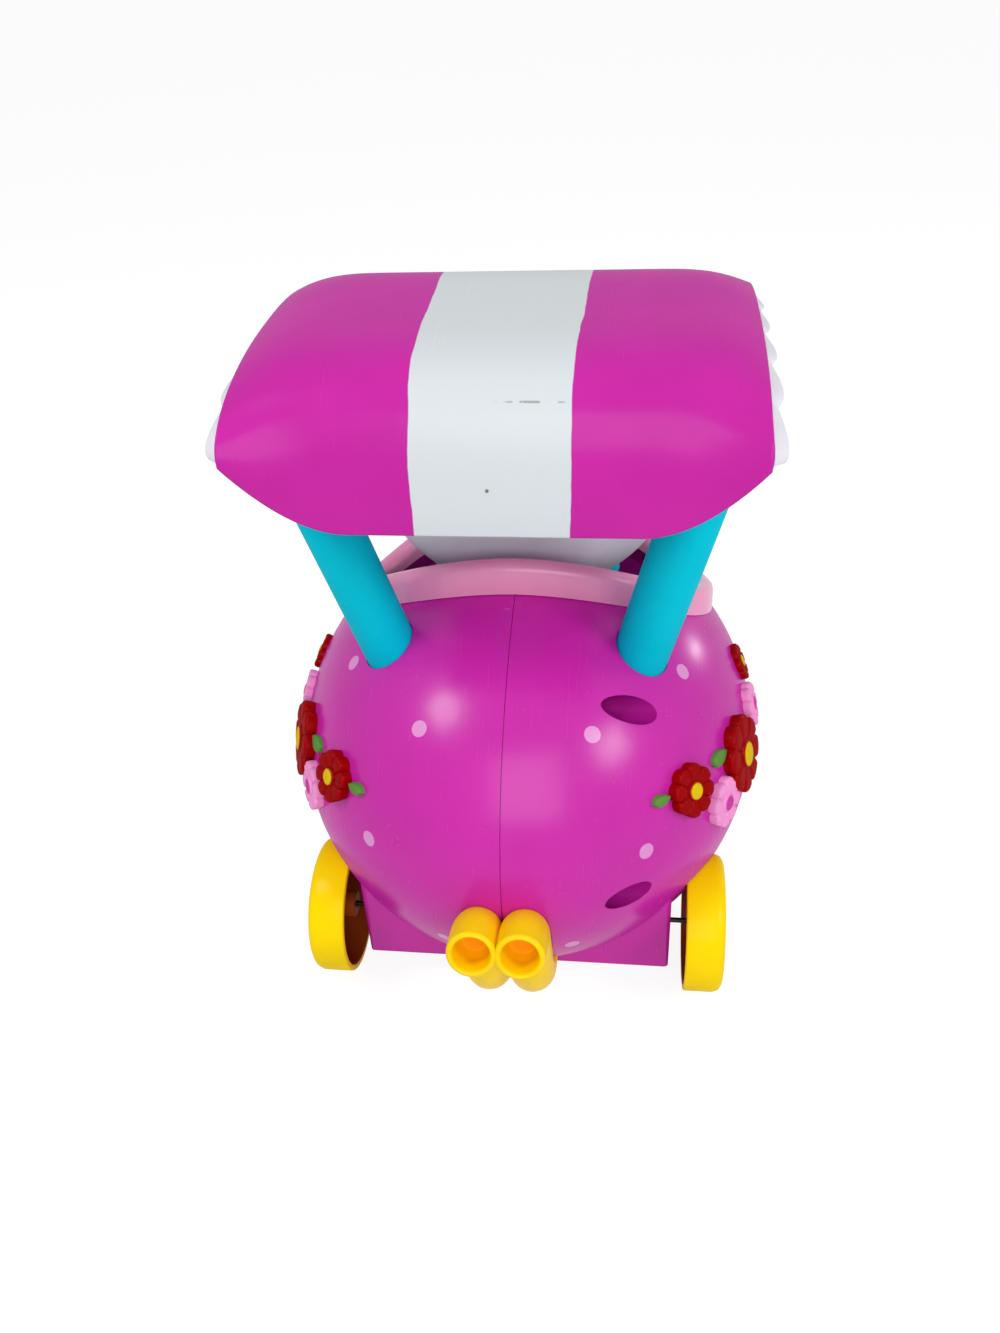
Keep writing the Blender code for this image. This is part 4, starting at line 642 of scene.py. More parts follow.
def ball(grow, segments, rings):
    """Bmesh of the ball, its surface out by grow."""
    s = sizes()
    bm = bmesh.new()
    bmesh.ops.create_uvsphere(bm, u_segments=segments, v_segments=rings, radius=1.0)
    bmesh.ops.scale(bm, vec=(s.body_half_width + grow, s.body_half_length + grow, s.body_half_height + grow),
                    verts=bm.verts)
    for vert in bm.verts:
        drop = max(0.0, -vert.co.z / s.body_half_height)
        vert.co.x *= 1.0 - BODY_TAPER * drop
        vert.co.y *= 1.0 - BODY_TAPER * drop
    bmesh.ops.translate(bm, vec=(0.0, 0.0, s.body_centre_z), verts=bm.verts)
    return bm


def skirt(inset, low, high):
    """Bmesh of the skirt's block, in by inset, with rounded upright corners."""
    half_width = sizes().wheel_inner_x - SKIRT_SIDE_GAP - inset
    half_length = SKIRT_HALF_LENGTH - inset
    bm = box((-half_width, -half_length, low), (half_width, half_length, high))
    edges = [e for e in bm.edges if abs(e.verts[0].co.z - e.verts[1].co.z) > MM]
    round_edges(bm, edges, SKIRT_CORNER, 4)
    return bm


def pipe_tube(sign, radius, sides, steps):
    """Bmesh of one exhaust pipe along its route."""
    curve = bpy.data.curves.new("pipe", "CURVE")
    curve.dimensions = "3D"
    curve.resolution_u = steps
    curve.bevel_depth = radius
    curve.bevel_resolution = sides
    curve.use_fill_caps = True
    spline = curve.splines.new("BEZIER")
    spline.bezier_points.add(len(PIPE_ROUTE) - 1)
    for knot, (y, z) in zip(spline.bezier_points, PIPE_ROUTE):
        knot.co = (sign * PIPE_X, y, z)
        knot.handle_left_type = knot.handle_right_type = "AUTO"
    carrier = place_object("pipe", curve)
    graph = bpy.context.evaluated_depsgraph_get()
    settled = bpy.data.meshes.new_from_object(carrier.evaluated_get(graph))
    bpy.data.objects.remove(carrier)
    bm = bmesh.new()
    bm.from_mesh(settled)
    return weld(bm)


def cockpit_prism():
    """Bmesh of the upright prism that opens the cockpit."""
    s = sizes()
    return loft([[(*cockpit_point(math.tau * i / 96, -RIM_LAND), z) for i in range(96)]
                 for z in (s.body_centre_z, s.body_centre_z + 2 * s.body_half_height)])


def cut_body(shell):
    """Adds the skirt and cuts the hollow, the wheel rooms, the cockpit and the post bores."""
    s = sizes()
    side = 2 * s.body_half_length
    boolean(shell, box((-side, -side, -side), (side, side, UNDERSIDE_Z)))
    share = ((s.wheel_inner_x - SKIRT_SIDE_GAP) / s.body_half_width) ** 2
    share += (SKIRT_HALF_LENGTH / s.body_half_length) ** 2
    top = s.body_centre_z - s.body_half_height * math.sqrt(1.0 - share)
    boolean(shell, skirt(0.0, UNDERSIDE_Z, top), "UNION")
    hollow = mesh_object("hollow", ball(-SHELL_WALL, 64, 32))
    boolean(hollow, box((-side, -side, -side), (side, side, UNDERSIDE_Z + SHELL_WALL)))
    boolean(hollow, skirt(SHELL_WALL, UNDERSIDE_Z - SHELL_WALL, top - SHELL_WALL), "UNION")
    foot = ball_top(*POST_FOOT)
    for sign in (-1.0, 1.0):
        for y in (-AXLE_Y, AXLE_Y):
            for target, grow in ((shell, WHEEL_ROOM), (hollow, WHEEL_ROOM + SHELL_WALL)):
                start, end = (sign * (s.wheel_inner_x + reach) for reach in (-grow, CUTTER_PAST))
                boolean(target, crosswise(start, end, y, AXLE_Z, s.wheel_radius + grow, 72))
        for target, grow, depth in ((hollow, SOCKET_WALL + GAP, POST_SUNK + SOCKET_WALL),
                                    (shell, GAP, POST_SUNK + GAP)):
            boolean(target, cylinder(post_point(sign, foot - depth), post_point(sign, foot + CUTTER_PAST),
                                     s.post_radius + grow, 64))
    for y, z in BODY_SCREWS:
        reach = ball_side(y, z) * 1.3
        boolean(hollow, crosswise(0.0, reach, y, z, RECESS_RADIUS + SOCKET_WALL, 40))
        boolean(hollow, crosswise(-reach, 0.0, y, z, BOSS_RADIUS, 32))
    boolean(shell, mesh_from(hollow))
    boolean(shell, cockpit_prism())
    for y in (-AXLE_Y, AXLE_Y):
        boolean(shell, crosswise(-side, side, y, AXLE_Z, AXLE_BORE, 24))


def make_body():
    """Both halves of the body."""
    reach = 2 * sizes().body_half_length
    whole = mesh_object("whole", ball(0.0, 128, 64))
    cut_body(whole)
    finish = body_finish()
    for side, sign in SIDES:
        half = place_object(side, whole.data.copy())
        x = sorted((sign * GAP / 2, sign * reach))
        boolean(half, box((x[0], -reach, 0.0), (x[1], reach, 2 * reach)), "INTERSECT")
        for pipe in (-1.0, 1.0):
            boolean(half, pipe_tube(pipe, sizes().pipe_radius + GAP, 8, 3))
        boolean(half, box((-PIPE_SLOT, PIPE_ROUTE[3][0], PIPE_ROUTE[1][1]),
                          (PIPE_SLOT, PIPE_ROUTE[0][0], PIPE_ROUTE[3][1])))
        for y, z in BODY_SCREWS:
            out = ball_side(y, z) * 1.3
            if sign > 0:
                boolean(half, crosswise(RECESS_FLOOR_X, out, y, z, RECESS_RADIUS, 48))
            boolean(half, crosswise(SCREW_TIP_X, out * 0.7, y, z, SCREW_BORE, 20))
        finish_piece(half, f"body_{side}_moulding", finish, "car", "body_magenta", f"body_{side}_shell")
    bpy.data.objects.remove(whole)
    make_seam_tongue(finish)


def make_seam_tongue(finish):
    """Tongue of the left half that backs the seam over the rear and the front of the ball."""
    outer, inner = TONGUE_DEPTHS
    tongue = mesh_object("tongue", ball(-outer, 96, 96))
    boolean(tongue, ball(-inner, 96, 48))
    reach = 2 * sizes().body_half_length
    boolean(tongue, box((-TONGUE_HALF, -reach, TONGUE_FOOT_Z), (TONGUE_HALF, reach, reach)), "INTERSECT")
    boolean(tongue, cockpit_prism())
    finish_piece(tongue, "body_seam_tongue", finish, "car", "body_magenta")


def body_finish():
    """Sprayed ABS: even satin magenta with small pale dots stamped on, and painted shade on the screw
    recesses' walls.
    """
    c = colours()
    s = sizes()
    material, tree, shader, under = moulded("sprayed ABS, magenta with dots", c.body, 0.25, shine=BODY_SHINE)
    masks = []
    for turn, rise in DOTS:
        for sign in (-1.0, 1.0):
            for way in (-1.0, 1.0):
                centre = (sign * s.body_half_width * math.sin(turn) * math.cos(rise),
                          way * s.body_half_length * math.cos(turn) * math.cos(rise) + MID_Y,
                          s.body_centre_z + s.body_half_height * math.sin(rise))
                masks.append(within(tree, centre, DOT_RADIUS, 0.12 * MM))
    dotted = paint_over(tree, shader, under, largest(tree, masks), c.dots)
    # Painted shade: the walls of the screw recesses are painted a darker magenta to stand for the shade in
    # them, and their coat shine is nearly taken away
    recess_shade_masks = [within(tree, (ball_side(y, z), y + MID_Y, z), RECESS_RADIUS + 0.12 * MM, 0.06 * MM,
                    (0.078, 1.0, 1.0)) for y, z in BODY_SCREWS]
    wall = largest(tree, recess_shade_masks)
    dotted = paint_over(tree, shader, dotted, wall, linear("#98127A"))
    tree.links.new(ramp(tree, wall, 0.0, 1.0, BODY_SHINE, 0.03), shader.inputs["Coat Weight"])
    # A short pale scratch beside the seam, below the rim
    place = (-2.3 * MM, -30.9 * MM + MID_Y, 149.8 * MM)
    scratch = within(tree, place, 0.14 * MM, 0.06 * MM, (0.12, 0.7, 1.0))
    paint_over(tree, shader, dotted, scratch, linear("#D868BC"))
    return material


class CockpitOperator(bpy.types.Operator):
    """Pink rim and liner tub"""
    bl_idname = "toycar.cockpit"
    bl_label = "Cockpit"

    def execute(self, context):
        make_rim()
        make_tub()
        return {"FINISHED"}


def rim_section(angle):
    """Cross-section of the rim at an angle of the cockpit's outline."""
    s = sizes()
    foot = ball_top(*cockpit_point(angle, 0.0)) + RIM_SEAT
    land = ball_top(*cockpit_point(angle, -RIM_LAND)) + RIM_SEAT
    radius = s.rim_width / 2
    shoulder = foot + s.rim_height - radius
    section = [(0.0, foot), (0.0, shoulder)]
    for step in range(1, 8):
        turn = math.pi * step / 8
        section.append((-radius + radius * math.cos(turn), shoulder + radius * math.sin(turn)))
    section += [(-s.rim_width, shoulder), (-s.rim_width, land), (-RIM_LAND, land)]
    return [(*cockpit_point(angle, offset), z) for offset, z in section]


def make_rim():
    """Rounded rim that stands on the ball and the tub's edge."""
    sections = [rim_section(math.tau * i / 120) for i in range(120)]
    rim = mesh_object("rim", loft(sections, wrap=True))
    material, *_ = moulded("moulded ABS, pink", colours().rim, 0.2, shine=0.8)
    finish_piece(rim, "cockpit_rim_moulding", material, "car", "rim_pink", "cockpit_rim")


def make_tub():
    """Liner tub with a drawn-in floor."""
    edge = -RIM_LAND - GAP - TUB_WALL
    count = 96
    turns = [math.tau * i / count for i in range(count)]
    tops = [ball_top(*cockpit_point(angle, -RIM_LAND)) for angle in turns]
    bm = bmesh.new()
    ring = [bm.verts.new((*cockpit_point(angle, edge), top)) for angle, top in zip(turns, tops)]
    tops = [vert.co.z for vert in ring]
    edges = [bm.edges.new((ring[i], ring[(i + 1) % count])) for i in range(count)]
    # Share of the depth and share of the taper at each step down
    steps = ((0.2, 0.12), (0.45, 0.35), (0.7, 0.6), (0.87, 0.82), (0.95, 0.97), (0.985, 1.14), (1.0, 1.45))
    for drop, taper in steps:
        extruded = bmesh.ops.extrude_edge_only(bm, edges=edges)["geom"]
        edges = [e for e in extruded if isinstance(e, bmesh.types.BMEdge)]
        fresh = [v for v in extruded if isinstance(v, bmesh.types.BMVert)]
        fresh.sort(key=lambda v: math.atan2(v.co.y - COCKPIT_Y, v.co.x) % math.tau)
        for vert, angle, top in zip(fresh, turns, tops):
            vert.co = (*cockpit_point(angle, edge - TUB_TAPER * taper), top + (TUB_FLOOR_Z - top) * drop)
    bmesh.ops.contextual_create(bm, geom=edges)
    bmesh.ops.recalc_face_normals(bm, faces=bm.faces)
    bmesh.ops.reverse_faces(bm, faces=bm.faces)
    tub = thicken(mesh_object("tub", bm), TUB_WALL)
    material, *_ = moulded("moulded ABS, dark magenta", colours().inner, 0.48, grain=0.02)
    finish_piece(tub, "cockpit_tub_moulding", material, "car", "inner_magenta", "cockpit_tub")


class SeatOperator(bpy.types.Operator):
    """Bucket seat on its teal foot"""
    bl_idname = "toycar.seat"
    bl_label = "Seat"

    def execute(self, context):
        make_seat()
        return {"FINISHED"}


def seat_ball(grow):
    """Bmesh of the ellipsoid that the seat is cut from."""
    bm = bmesh.new()
    bmesh.ops.create_uvsphere(bm, u_segments=96, v_segments=72, radius=1.0)
    bmesh.ops.scale(bm, vec=[half + grow for half in SEAT_HALF], verts=bm.verts)
    bmesh.ops.translate(bm, vec=SEAT_CENTRE, verts=bm.verts)
    return bm


def make_seat():
    """Bucket seat and its foot."""
    shell = mesh_object("seat", seat_ball(0.0))
    boolean(shell, seat_ball(-SEAT_WALL))
    # Side view of what is cut away, so that a bowl with a high back stays
    outline = ((70.2, 138.0), (21.0, 138.0), (1.5, 178.0), (-54.0, 178.0), (-54.0, 275.0), (70.2, 275.0))
    boolean(shell, loft([[(x * MM, y * MM, z * MM) for y, z in outline] for x in (-90.0, 90.0)]))
    soften(shell, 0.7 * MM)
    white, *_ = moulded("moulded ABS, pale grey", colours().seat, 0.38)
    finish_piece(shell, "seat_moulding", white, "car", "seat_white", "seat_shell")
    rings = []
    for share in (0.0, 0.04, 0.5, 1.0):
        half = (20.0 * MM + 16.0 * MM * share, 14.0 * MM + 5.0 * MM * share)
        z = TUB_FLOOR_Z + GAP + (SEAT_FOOT_HEIGHT - GAP) * share
        rings.append([(half[0] * math.cos(t), SEAT_CENTRE[1] + half[1] * math.sin(t), z)
                      for t in (math.tau * i / 64 for i in range(64))])
    foot = mesh_object("foot", loft(rings))
    boolean(foot, seat_ball(GAP))
    finish_piece(foot, "seat_foot", teal_finish(), "car", "teal", "seat_base")


def teal_finish():
    """Moulded ABS of the posts, the seat's foot and the steering wheel."""
    return shared("moulded ABS, teal", colours().teal, 0.26, 0.1)


def yellow_finish():
    """Moulded ABS, yellow, made once, with painted shade in the wheels' hollows."""
    ready = bpy.data.materials.get("moulded ABS, yellow")
    if ready:
        return ready
    material, tree, shader, under = moulded("moulded ABS, yellow", colours().yellow, 0.24, shine=0.14)
    # Painted shade: the wheel's hollow inner side is painted amber brown to stand for the shade deep inside
    # it
    painted_shade = add_node(tree, "ShaderNodeAttribute", {"attribute_name": "hollow"})
    paint_over(tree, shader, under, painted_shade.outputs["Fac"], linear("#A8481A"))
    return material


class CanopyOperator(bpy.types.Operator):
    """Bent canopy with a painted stripe, its frills and its posts"""
    bl_idname = "toycar.canopy"
    bl_label = "Canopy"

    def execute(self, context):
        make_canopy()
        for name, sign in SIDES:
            make_frill(name, sign)
            make_post(name, sign)
        return {"FINISHED"}


def make_canopy():
    """Canopy sheet with its post sockets."""
    half = sizes().canopy_half_width
    bm = bmesh.new()
    bmesh.ops.create_grid(bm, x_segments=80, y_segments=72, size=1.0)
    for vert in bm.verts:
        x = half * (0.6 * vert.co.x + 0.4 * math.sin(math.pi / 2 * vert.co.x))
        vert.co = canopy_point(x, canopy_angle((vert.co.y + 1.0) / 2))
    canopy = thicken(mesh_object("canopy", bm), CANOPY_WALL)
    soften(canopy, 0.6 * MM, 3, 50.0)
    for sign in (-1.0, 1.0):
        top = post_point(sign, POST_TOP_Z)
        boss = mesh_object("boss", upright(top, POST_TOP_Z + GAP, CANOPY_TOP_Z,
                                           SPIGOT_RADIUS + SOCKET_WALL + GAP, 48))
        rings = [[canopy_inside(x, canopy_angle(i / 40), CANOPY_WALL / 2) for i in range(41)]
                 for x in (sign * value * MM for value in range(50, 80, 3))]
        boolean(boss, loft(rings), "INTERSECT")
        boolean(canopy, mesh_from(boss), "UNION")
        boolean(canopy, upright(top, POST_TOP_Z - GAP, POST_TOP_Z + SPIGOT_HEIGHT + GAP,
                                SPIGOT_RADIUS + GAP, 32))
    finish_piece(canopy, "canopy_moulding", canopy_finish(), "car", "canopy_magenta", "canopy_shell")


def canopy_finish():
    """Sprayed ABS: satin magenta with a masked pale stripe whose edges wander a little."""
    c = colours()
    material, tree, shader, under = moulded("sprayed ABS, magenta with stripe", c.canopy, 0.22, shine=0.26)
    place = add_node(tree, "ShaderNodeTexCoord").outputs["Object"]
    axes = add_node(tree, "ShaderNodeSeparateXYZ", links={"Vector": place})
    # The stripe's half width grows from the rear to the front
    width = ramp(tree, axes.outputs["Y"], -73.5 * MM + MID_Y, 50.0 * MM + MID_Y, 23.2 * MM, 26.3 * MM)
    drift = ramp(tree, noise(tree, place, 45.0, 3.0), 0.0, 1.0, -1.0 * MM, 1.0 * MM)
    edge = maths(tree, "ADD", maths(tree, "ABSOLUTE", axes.outputs["X"]), drift)
    mask = ramp(tree, maths(tree, "SUBTRACT", width, edge), -0.15 * MM, 0.15 * MM)
    striped = paint_over(tree, shader, under, mask, c.stripe)
    # Marks of use: a scuffed line along the ridge of the stripe and a small dark spot below it
    middle = (13.6 * MM, -62.2 * MM + MID_Y, 241.2 * MM)
    scuff = within(tree, middle, 0.36 * MM, 0.12 * MM, (0.036, 1.0, 1.0))
    worn = ramp(tree, noise(tree, place, 420.0, 2.0), 0.46, 0.54, 0.0, 0.6)
    spot = within(tree, (-0.8 * MM, -71.2 * MM + MID_Y, 217.7 * MM), 0.55 * MM, 0.2 * MM)
    used = largest(tree, [maths(tree, "MULTIPLY", scuff, worn), spot])
    paint_over(tree, shader, striped, used, linear("#5E6A66"))
    return material


def make_frill(name, sign):
    """Pleated white trim along one end of the canopy: a tucked band, a fold and a hanging lip."""
    half = sizes().canopy_half_width
    depth = CANOPY_WALL + FRILL_GAP
    places = [canopy_inside(sign * half, canopy_angle(i / FRILL_STEPS), depth)
              for i in range(FRILL_STEPS + 1)]
    runs = [0.0]
    for point, after in zip(places, places[1:]):
        runs.append(runs[-1] + (after - point).length)
    bm = bmesh.new()
    bmesh.ops.create_grid(bm, x_segments=7, y_segments=192, size=1.0)
    for vert in bm.verts:
        share = 0.012 + 0.976 * (vert.co.y + 1.0) / 2
        out = (vert.co.x + 1.0) / 2
        angle = canopy_angle(share)
        pleat = PLEATS * runs[round(share * FRILL_STEPS)] / runs[-1]
        swell = math.sin(math.pi * (pleat % 1.0) ** 0.6)
        if out < FRILL_BAND:
            tuck = FRILL_TUCK * (FRILL_BAND - out) / FRILL_BAND
            point = canopy_inside(sign * (half - tuck), angle, depth)
        else:
            hang = (out - FRILL_BAND) / (1.0 - FRILL_BAND)
            point = canopy_inside(sign * half, angle, depth + FRILL_HANG * hang)
            flare = 1.2 + 2.0 * (1.0 - min(1.0, 2.0 * share)) + 2.2 * swell
            point.x = sign * (half + hang ** 0.7 * flare * MM)
        vert.co = point
    if sign < 0:
        bmesh.ops.reverse_faces(bm, faces=bm.faces)
    frill = thicken(mesh_object("frill", bm), FRILL_WALL)
    soften(frill, 0.4 * MM, 3)
    white = shared("moulded ABS, white", colours().white, 0.4)
    finish_piece(frill, f"canopy_frill_{name}_moulding", white, "car", "frill_white", f"canopy_frill_{name}")


def make_post(name, sign):
    """Leaning post, cut level at the top, with its spigot."""
    s = sizes()
    foot = post_point(sign, ball_top(*POST_FOOT) - POST_SUNK)
    above = post_point(sign, POST_TOP_Z + 10.0 * MM)
    post = mesh_object("post", cylinder(foot, above, s.post_radius, 72))
    reach = 2 * s.body_half_length
    boolean(post, box((-reach, -reach, POST_TOP_Z), (reach, reach, 2 * POST_TOP_Z)))
    soften(post, 0.5 * MM)
    spigot = upright(post_point(sign, POST_TOP_Z), POST_TOP_Z - SPIGOT_RADIUS, POST_TOP_Z + SPIGOT_HEIGHT,
                     SPIGOT_RADIUS, 32)
    boolean(post, spigot, "UNION")
    finish_piece(post, f"post_{name}_moulding", teal_finish(), "car", "teal", f"post_{name}")


class ExhaustOperator(bpy.types.Operator):
    """Twin exhaust"""
    bl_idname = "toycar.exhaust"
    bl_label = "Exhaust"

    def execute(self, context):
        s = sizes()
        last = Vector((0.0, *PIPE_ROUTE[-1]))
        along = (last - Vector((0.0, *PIPE_ROUTE[-2]))).normalized()
        pipes = []
        bores = []
        for sign in (-1.0, 1.0):
            mouth = last + Vector((sign * PIPE_X, 0.0, 0.0))
            pipe = pipe_tube(sign, s.pipe_radius, 32, 8)
            cap = [f for f in pipe.faces if f.normal @ along > 0.9
                   and (f.calc_center_median() - mouth).length < s.pipe_radius]
            end = (bmesh.ops.dissolve_faces(pipe, faces=cap)["region"] or cap)[0]
            bores.append(flared_bore(mouth, end.normal.copy(), s.pipe_bore))
            round_edges(pipe, end.edges[:], LIP_ROUND, 4)
            pipes.append(pipe)
        exhaust = mesh_object("exhaust", pipes[0])
        boolean(exhaust, pipes[1], "UNION")
        for bore in bores:
            boolean(exhaust, bore)
        soften(exhaust, 0.4 * MM, 3, 50.0)
        material, tree, shader, under = moulded("moulded ABS, warm yellow", colours().pipe, 0.2, shine=0.3)
        # Painted shade and bounce light: deep in the mouths the yellow is painted orange, for the light that
        # bounces between the yellow walls
        masks = []
        for sign in (-1.0, 1.0):
            deep = last - along * 12.5 * MM + Vector((sign * PIPE_X, MID_Y, 0.0))
            masks.append(within(tree, deep, 6.6 * MM, 3.2 * MM))
        paint_over(tree, shader, under, largest(tree, masks), colours().bore)
        finish_piece(exhaust, "exhaust_moulding", material, "car", "yellow", "twin_exhaust")
        return {"FINISHED"}


def flared_bore(mouth, axis, radius):
    """Cutter for a mouth: a round flare, a straight bore and a dished bottom."""
    r = radius / MM
    profile = [(0.0, 3.0), (r + 1.05, 3.0), (r + 1.05, 0.0), (r + 0.6, -0.2), (r + 0.25, -0.6),
               (r + 0.05, -1.2), (r, -2.2), (r, -8.0), (r - 0.4, -9.6), (r - 1.5, -10.7), (r - 3.0, -11.0),
               (0.0, -11.0)]
    bm = polyline([(across * MM, 0.0, height * MM) for across, height in profile])
    spin_round(bm, (0.0, 0.0, 0.0), (0.0, 0.0, 1.0), 56)
    bm.transform(facing(mouth, axis))
    return bm


class WheelsOperator(bpy.types.Operator):
    """Four wheels"""
    bl_idname = "toycar.wheels"
    bl_label = "Wheels"

    def execute(self, context):
        for end, y in (("rear", -AXLE_Y), ("front", AXLE_Y)):
            for side, sign in SIDES:
                make_wheel(end, side, sign, y)
        return {"FINISHED"}


def make_wheel(end, side, sign, y):
    """Wheel with a rounded shoulder and a hollow inner side."""
    s = sizes()
    outer = s.wheel_inner_x + s.wheel_width
    r = s.wheel_radius / MM
    w = s.wheel_width / MM
    # Radius and place along the axle from the outer face, in mm: face, tread, hollow and hub
    profile = [(0.0, -1.4), (0.72 * r, -1.4), (0.78 * r, 0.0), (r - 2.8, 0.0), (r - 0.84, -1.1), (r, -3.4),
               (r, -w), (r - 2.6, -w), (r - 2.6, -3.9), (5.2, -3.9), (5.2, 1.0 - w), (1.3, 1.0 - w),
               (1.3, -3.6), (0.0, -3.6)]
    bm = polyline([(sign * (outer + x * MM), y, AXLE_Z + radius * MM) for radius, x in profile])
    spin_round(bm, (0.0, y, AXLE_Z), (1.0, 0.0, 0.0), 96)
    wheel = soften(mesh_object("wheel", bm), 0.6 * MM, 3, 25.0)
    # Marks the hollow inner side, which the yellow material paints amber brown as shade
    hollow = wheel.data.attributes.new("hollow", "FLOAT", "POINT")
    for vert, painted_shade in zip(wheel.data.vertices, hollow.data):
        far = math.hypot(vert.co.y - y, vert.co.z - AXLE_Z)
        painted_shade.value = float(far < s.wheel_radius - 2.2 * MM and abs(vert.co.x) < outer - 3.5 * MM)
    finish_piece(wheel, f"wheel_{end}_{side}_moulding", yellow_finish(), f"{end}_wheels", "yellow",
                 f"wheel_{end}_{side}")


class FlowersOperator(bpy.types.Operator):
    """Flowers and leaves on both sides"""
    bl_idname = "toycar.flowers"
    bl_label = "Flowers"

    def execute(self, context):
        for side, sign in SIDES:
            for name, y, z, radius, thickness, kind in FLOWERS:
                make_flower(f"{name}_{side}", sign, y * MM, z * MM, radius * MM, thickness * MM, kind)
            for name, y, z, radius, thickness in LEAVES:
                make_leaf(f"{name}_{side}", sign, y * MM, z * MM, radius * MM, thickness * MM)
        return {"FINISHED"}


def side_frame(y, z):
    """Place on the ball's right side with its outward direction."""
    s = sizes()
    x = ball_side(y, z)
    normal = Vector((x / s.body_half_width ** 2, y / s.body_half_length ** 2,
                     (z - s.body_centre_z) / s.body_half_height ** 2)).normalized()
    return facing((x, y, z), normal)


def over_ball(spot, height):
    """Point over the ball's surface in line with a spot, out by a height square to the surface."""
    s = sizes()
    size = (s.body_half_width, s.body_half_length, s.body_half_height)
    out = spot - Vector((0.0, 0.0, s.body_centre_z))
    out /= Vector([out[k] / size[k] for k in range(3)]).length
    normal = Vector([out[k] / size[k] ** 2 for k in range(3)]).normalized()
    return out + normal * height + Vector((0.0, 0.0, s.body_centre_z))


def bend_to_ball(bm, place, sign):
    """Bends a flat shape over the ball at a place; its heights become heights over the surface."""
    for vert in bm.verts:
        height = vert.co.z
        spot = over_ball(place @ Vector((vert.co.x, vert.co.y, 0.0)), height)
        vert.co = (sign * spot.x, spot.y, spot.z)
    bmesh.ops.recalc_face_normals(bm, faces=bm.faces)


def make_flower(name, sign, y, z, radius, thickness, kind):
    """Eight rounded petals with a dip along each one and a domed heart in a ring groove."""
    bm = bmesh.new()
    t = thickness / MM
    # Share of the radius and height in mm: side, rounded brim, petal's dip, ring groove and heart
    levels = ((1.0, -1.0), (1.0, t - 1.3), (0.985, t - 0.6), (0.95, t - 0.15), (0.89, t), (0.75, t - 0.15),
              (0.6, t - 0.35), (0.45, t - 0.75), (0.37, t - 0.9), (0.33, t - 0.3), (0.26, t + 0.15),
              (0.14, t + 0.35))
    bmesh.ops.create_circle(bm, cap_ends=True, segments=128, radius=radius)
    face = bm.faces[:][0]
    for i, (share, height) in enumerate(levels):
        if i > 0:
            extruded = bmesh.ops.extrude_face_region(bm, geom=[face])
            bmesh.ops.delete(bm, geom=[face], context="FACES")
            face = [g for g in extruded["geom"] if isinstance(g, bmesh.types.BMFace)][0]
        cut = min(1.0, max(0.0, (share - 0.3) / 0.35))
        for vert in face.verts:
            turn = math.atan2(vert.co.y, vert.co.x)
            lobe = abs(math.sin(4.0 * turn))
            reach = radius * share * (1.0 - cut * 0.16 * (1.0 - lobe ** 0.6))
            groove = 0.9 * cut * (1.0 - min(1.0, lobe * 2.2)) if 1 < i < 9 else 0.0
            vert.co = (reach * math.cos(turn), reach * math.sin(turn), (height - groove) * MM)
    bmesh.ops.contextual_create(bm, geom=[e for e in bm.edges if e.is_boundary])
    place = side_frame(y, z)
    bend_to_ball(bm, place, sign)
    heart = over_ball(place.translation, thickness)
    flower = mesh_object(name, bm)
    material = flower_finish(name, kind, Vector((sign * heart.x, heart.y + MID_Y, heart.z)), radius)
    finish_piece(flower, name + "_moulding", material, "car", f"flower_{kind}", name, angle=50.0)


def flower_finish(name, kind, heart, radius):
    """Sprayed ABS petals, a little uneven in shade, with a brushed-on heart."""
    c = colours()
    colour, spot = (c.red, c.heart) if kind == "red" else (c.pink, linear("#C83FA0"))
    material, tree, shader, under = moulded(f"painted ABS, {kind} {name}", colour, 0.28, shine=0.1)
    paint_over(tree, shader, under, within(tree, heart, radius * 0.31, 0.25 * MM), spot)
    return material


def make_leaf(name, sign, y, z, radius, thickness):
    """Pointed leaf with a rounded face."""
    outline = [(1.3, 0.0), (0.85, 0.32), (0.4, 0.55), (-0.2, 0.6), (-0.7, 0.45), (-1.0, 0.0)]
    outline += [(x, -v) for x, v in outline[-2:0:-1]]
    levels = ((1.0, -1.6 * MM), (1.0, thickness - 0.6 * MM), (0.85, thickness), (0.3, thickness + 0.2 * MM))
    bm = loft([[(u * radius * share, v * radius * share, height) for u, v in outline]
               for share, height in levels])
    bend_to_ball(bm, side_frame(y, z), sign)
    green = shared("painted ABS, leaf green", colours().leaf, 0.42)
    finish_piece(mesh_object(name, bm), name + "_moulding", green, "car", "leaf_green", name, angle=50.0)


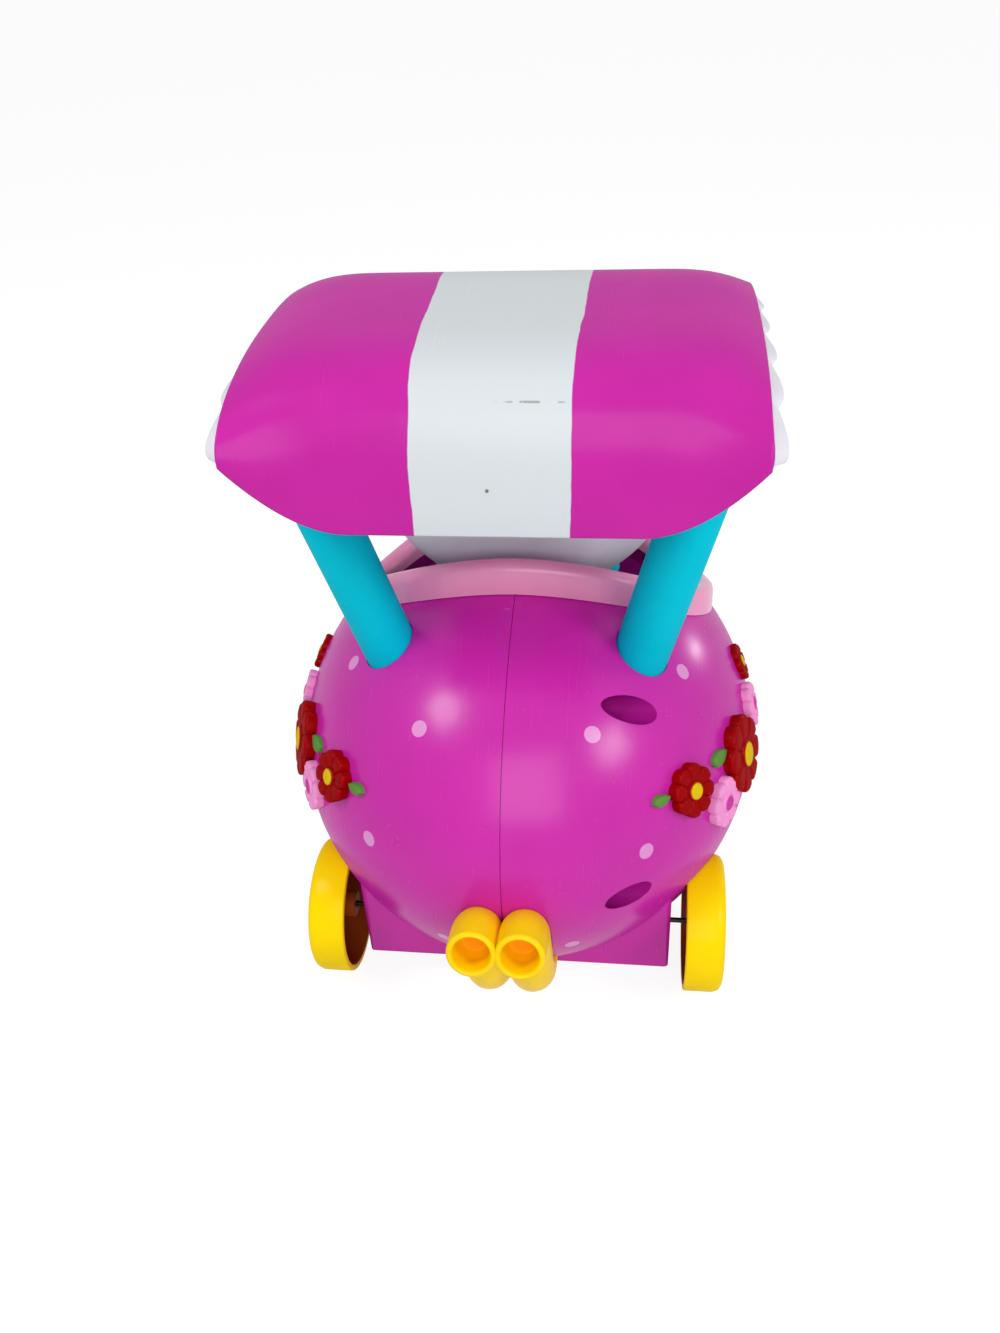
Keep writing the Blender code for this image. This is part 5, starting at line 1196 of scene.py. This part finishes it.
class SteeringOperator(bpy.types.Operator):
    """Steering wheel"""
    bl_idname = "toycar.steering"
    bl_label = "Steering wheel"

    def execute(self, context):
        low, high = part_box("steering_wheel")
        centre = (Vector(low) + Vector(high)) / 2 - Vector((0.0, MID_Y, 0.0))
        tilt = math.radians(38.0)
        middle = (0.0, 0.0, 0.0)
        bm = bmesh.new()
        bmesh.ops.create_circle(bm, segments=24, radius=2.2 * MM)
        bmesh.ops.rotate(bm, cent=middle, matrix=Matrix.Rotation(math.pi / 2, 3, "X"), verts=bm.verts)
        bmesh.ops.translate(bm, vec=(STEERING_RADIUS, 0.0, 0.0), verts=bm.verts)
        wheel = mesh_object("steering", spin_round(bm, middle, (0.0, 0.0, 1.0), 72))
        for i in range(3):
            angle = math.tau * i / 3 + math.pi / 2
            reach = (STEERING_RADIUS * math.cos(angle), STEERING_RADIUS * math.sin(angle), 0.0)
            boolean(wheel, cylinder(middle, reach, 1.6 * MM, 20), "UNION")
        spot = Vector(middle)
        boolean(wheel, upright(spot, -2.0 * MM, 2.0 * MM, 4.6 * MM, 48), "UNION")
        boolean(wheel, upright(spot, -4.0 * MM, 0.22 * MM, 2.5 * MM, 32))
        soften(wheel, 0.4 * MM)
        wheel.data.transform(facing(centre, Vector((0.0, -math.cos(tilt), math.sin(tilt)))))
        finish_piece(wheel, "steering_wheel_moulding", teal_finish(), "wheel_at_dash", "teal",
                     "steering_wheel")
        return {"FINISHED"}


class FrameNodesOperator(bpy.types.Operator):
    """Finishes of the CAD pieces that stay as they are"""
    bl_idname = "toycar.frame_nodes"
    bl_label = "Chassis and drive"

    def execute(self, context):
        inner, *_ = moulded("moulded ABS, dark magenta chassis", colours().inner, 0.5, grain=0.02)
        dress(inner, "chassis_pan", "dashboard", "battery_door")
        # Steel rod, given a nearly black colour as painted shade and dark reflection from the wheels'
        # hollows, with a dull metal shine
        dress(plain("steel rod, darkened as painted shade", "#2A2627", 0.4, 1.0), "rear_axle", "front_axle")
        # Drawn steel wire and pressed sheet: cool grey with a soft metal shine
        dress(plain("drawn steel", "#8E8E91", 0.32, 1.0), "gear_arbor", "motor", "motor_shaft",
              "battery_contact_left", "battery_contact_right", "battery_door_screw", "body_screw_front",
              "body_screw_rear_lower", "body_screw_rear_upper")
        # Moulded nylon: waxy off-white
        dress(plain("moulded nylon", "#E6E3D6", 0.45), "axle_gear", "compound_gear", "motor_pinion")
        # Moulded ABS left as it comes from the mould: dull grey and dull black
        dress(plain("moulded ABS, grey", "#8C8F94", 0.5, grain=0.015), "gearbox_frame", "steering_column")
        dress(plain("moulded ABS, black", "#141414", 0.5, grain=0.015), "power_switch", "switch_knob")
        # Shrink sleeve: smooth dark green round each cell
        dress(plain("shrink sleeve, dark green", "#1F4D29", 0.4), "battery_cell_1", "battery_cell_2",
              "battery_cell_3")
        return {"FINISHED"}


def dress(material, *names):
    """Puts a material on CAD nodes."""
    for name in names:
        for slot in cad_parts[name].material_slots:
            slot.material = material


class CarPanel(bpy.types.Panel):
    """Sizes, colours and steps of the toy car"""
    bl_idname = "VIEW3D_PT_toycar"
    bl_label = "Toy car"
    bl_space_type = "VIEW_3D"
    bl_region_type = "UI"
    bl_category = "Toy car"

    def draw(self, context):
        for group in (context.scene.car_sizes, context.scene.car_colours):
            for key in group.__annotations__:
                self.layout.prop(group, key)
        for operator in OPERATORS:
            self.layout.operator(operator.bl_idname)


OPERATORS = (StageOperator, BodyOperator, CockpitOperator, SeatOperator, CanopyOperator, ExhaustOperator,
             WheelsOperator, FlowersOperator, SteeringOperator, FrameNodesOperator)
CLASSES = (CarSizes, CarColours, *OPERATORS, CarPanel)


def register():
    """Registers the classes and the scene's properties."""
    for cls in CLASSES:
        bpy.utils.register_class(cls)
    bpy.types.Scene.car_sizes = bpy.props.PointerProperty(type=CarSizes)
    bpy.types.Scene.car_colours = bpy.props.PointerProperty(type=CarColours)


def unregister():
    """Takes the properties and classes away again."""
    del bpy.types.Scene.car_colours
    del bpy.types.Scene.car_sizes
    for cls in reversed(CLASSES):
        bpy.utils.unregister_class(cls)


def main():
    """Registers the add-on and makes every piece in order."""
    register()
    for operator in OPERATORS:
        group, step = operator.bl_idname.split(".")
        getattr(getattr(bpy.ops, group), step)()


if __name__ == "__main__":
    main()
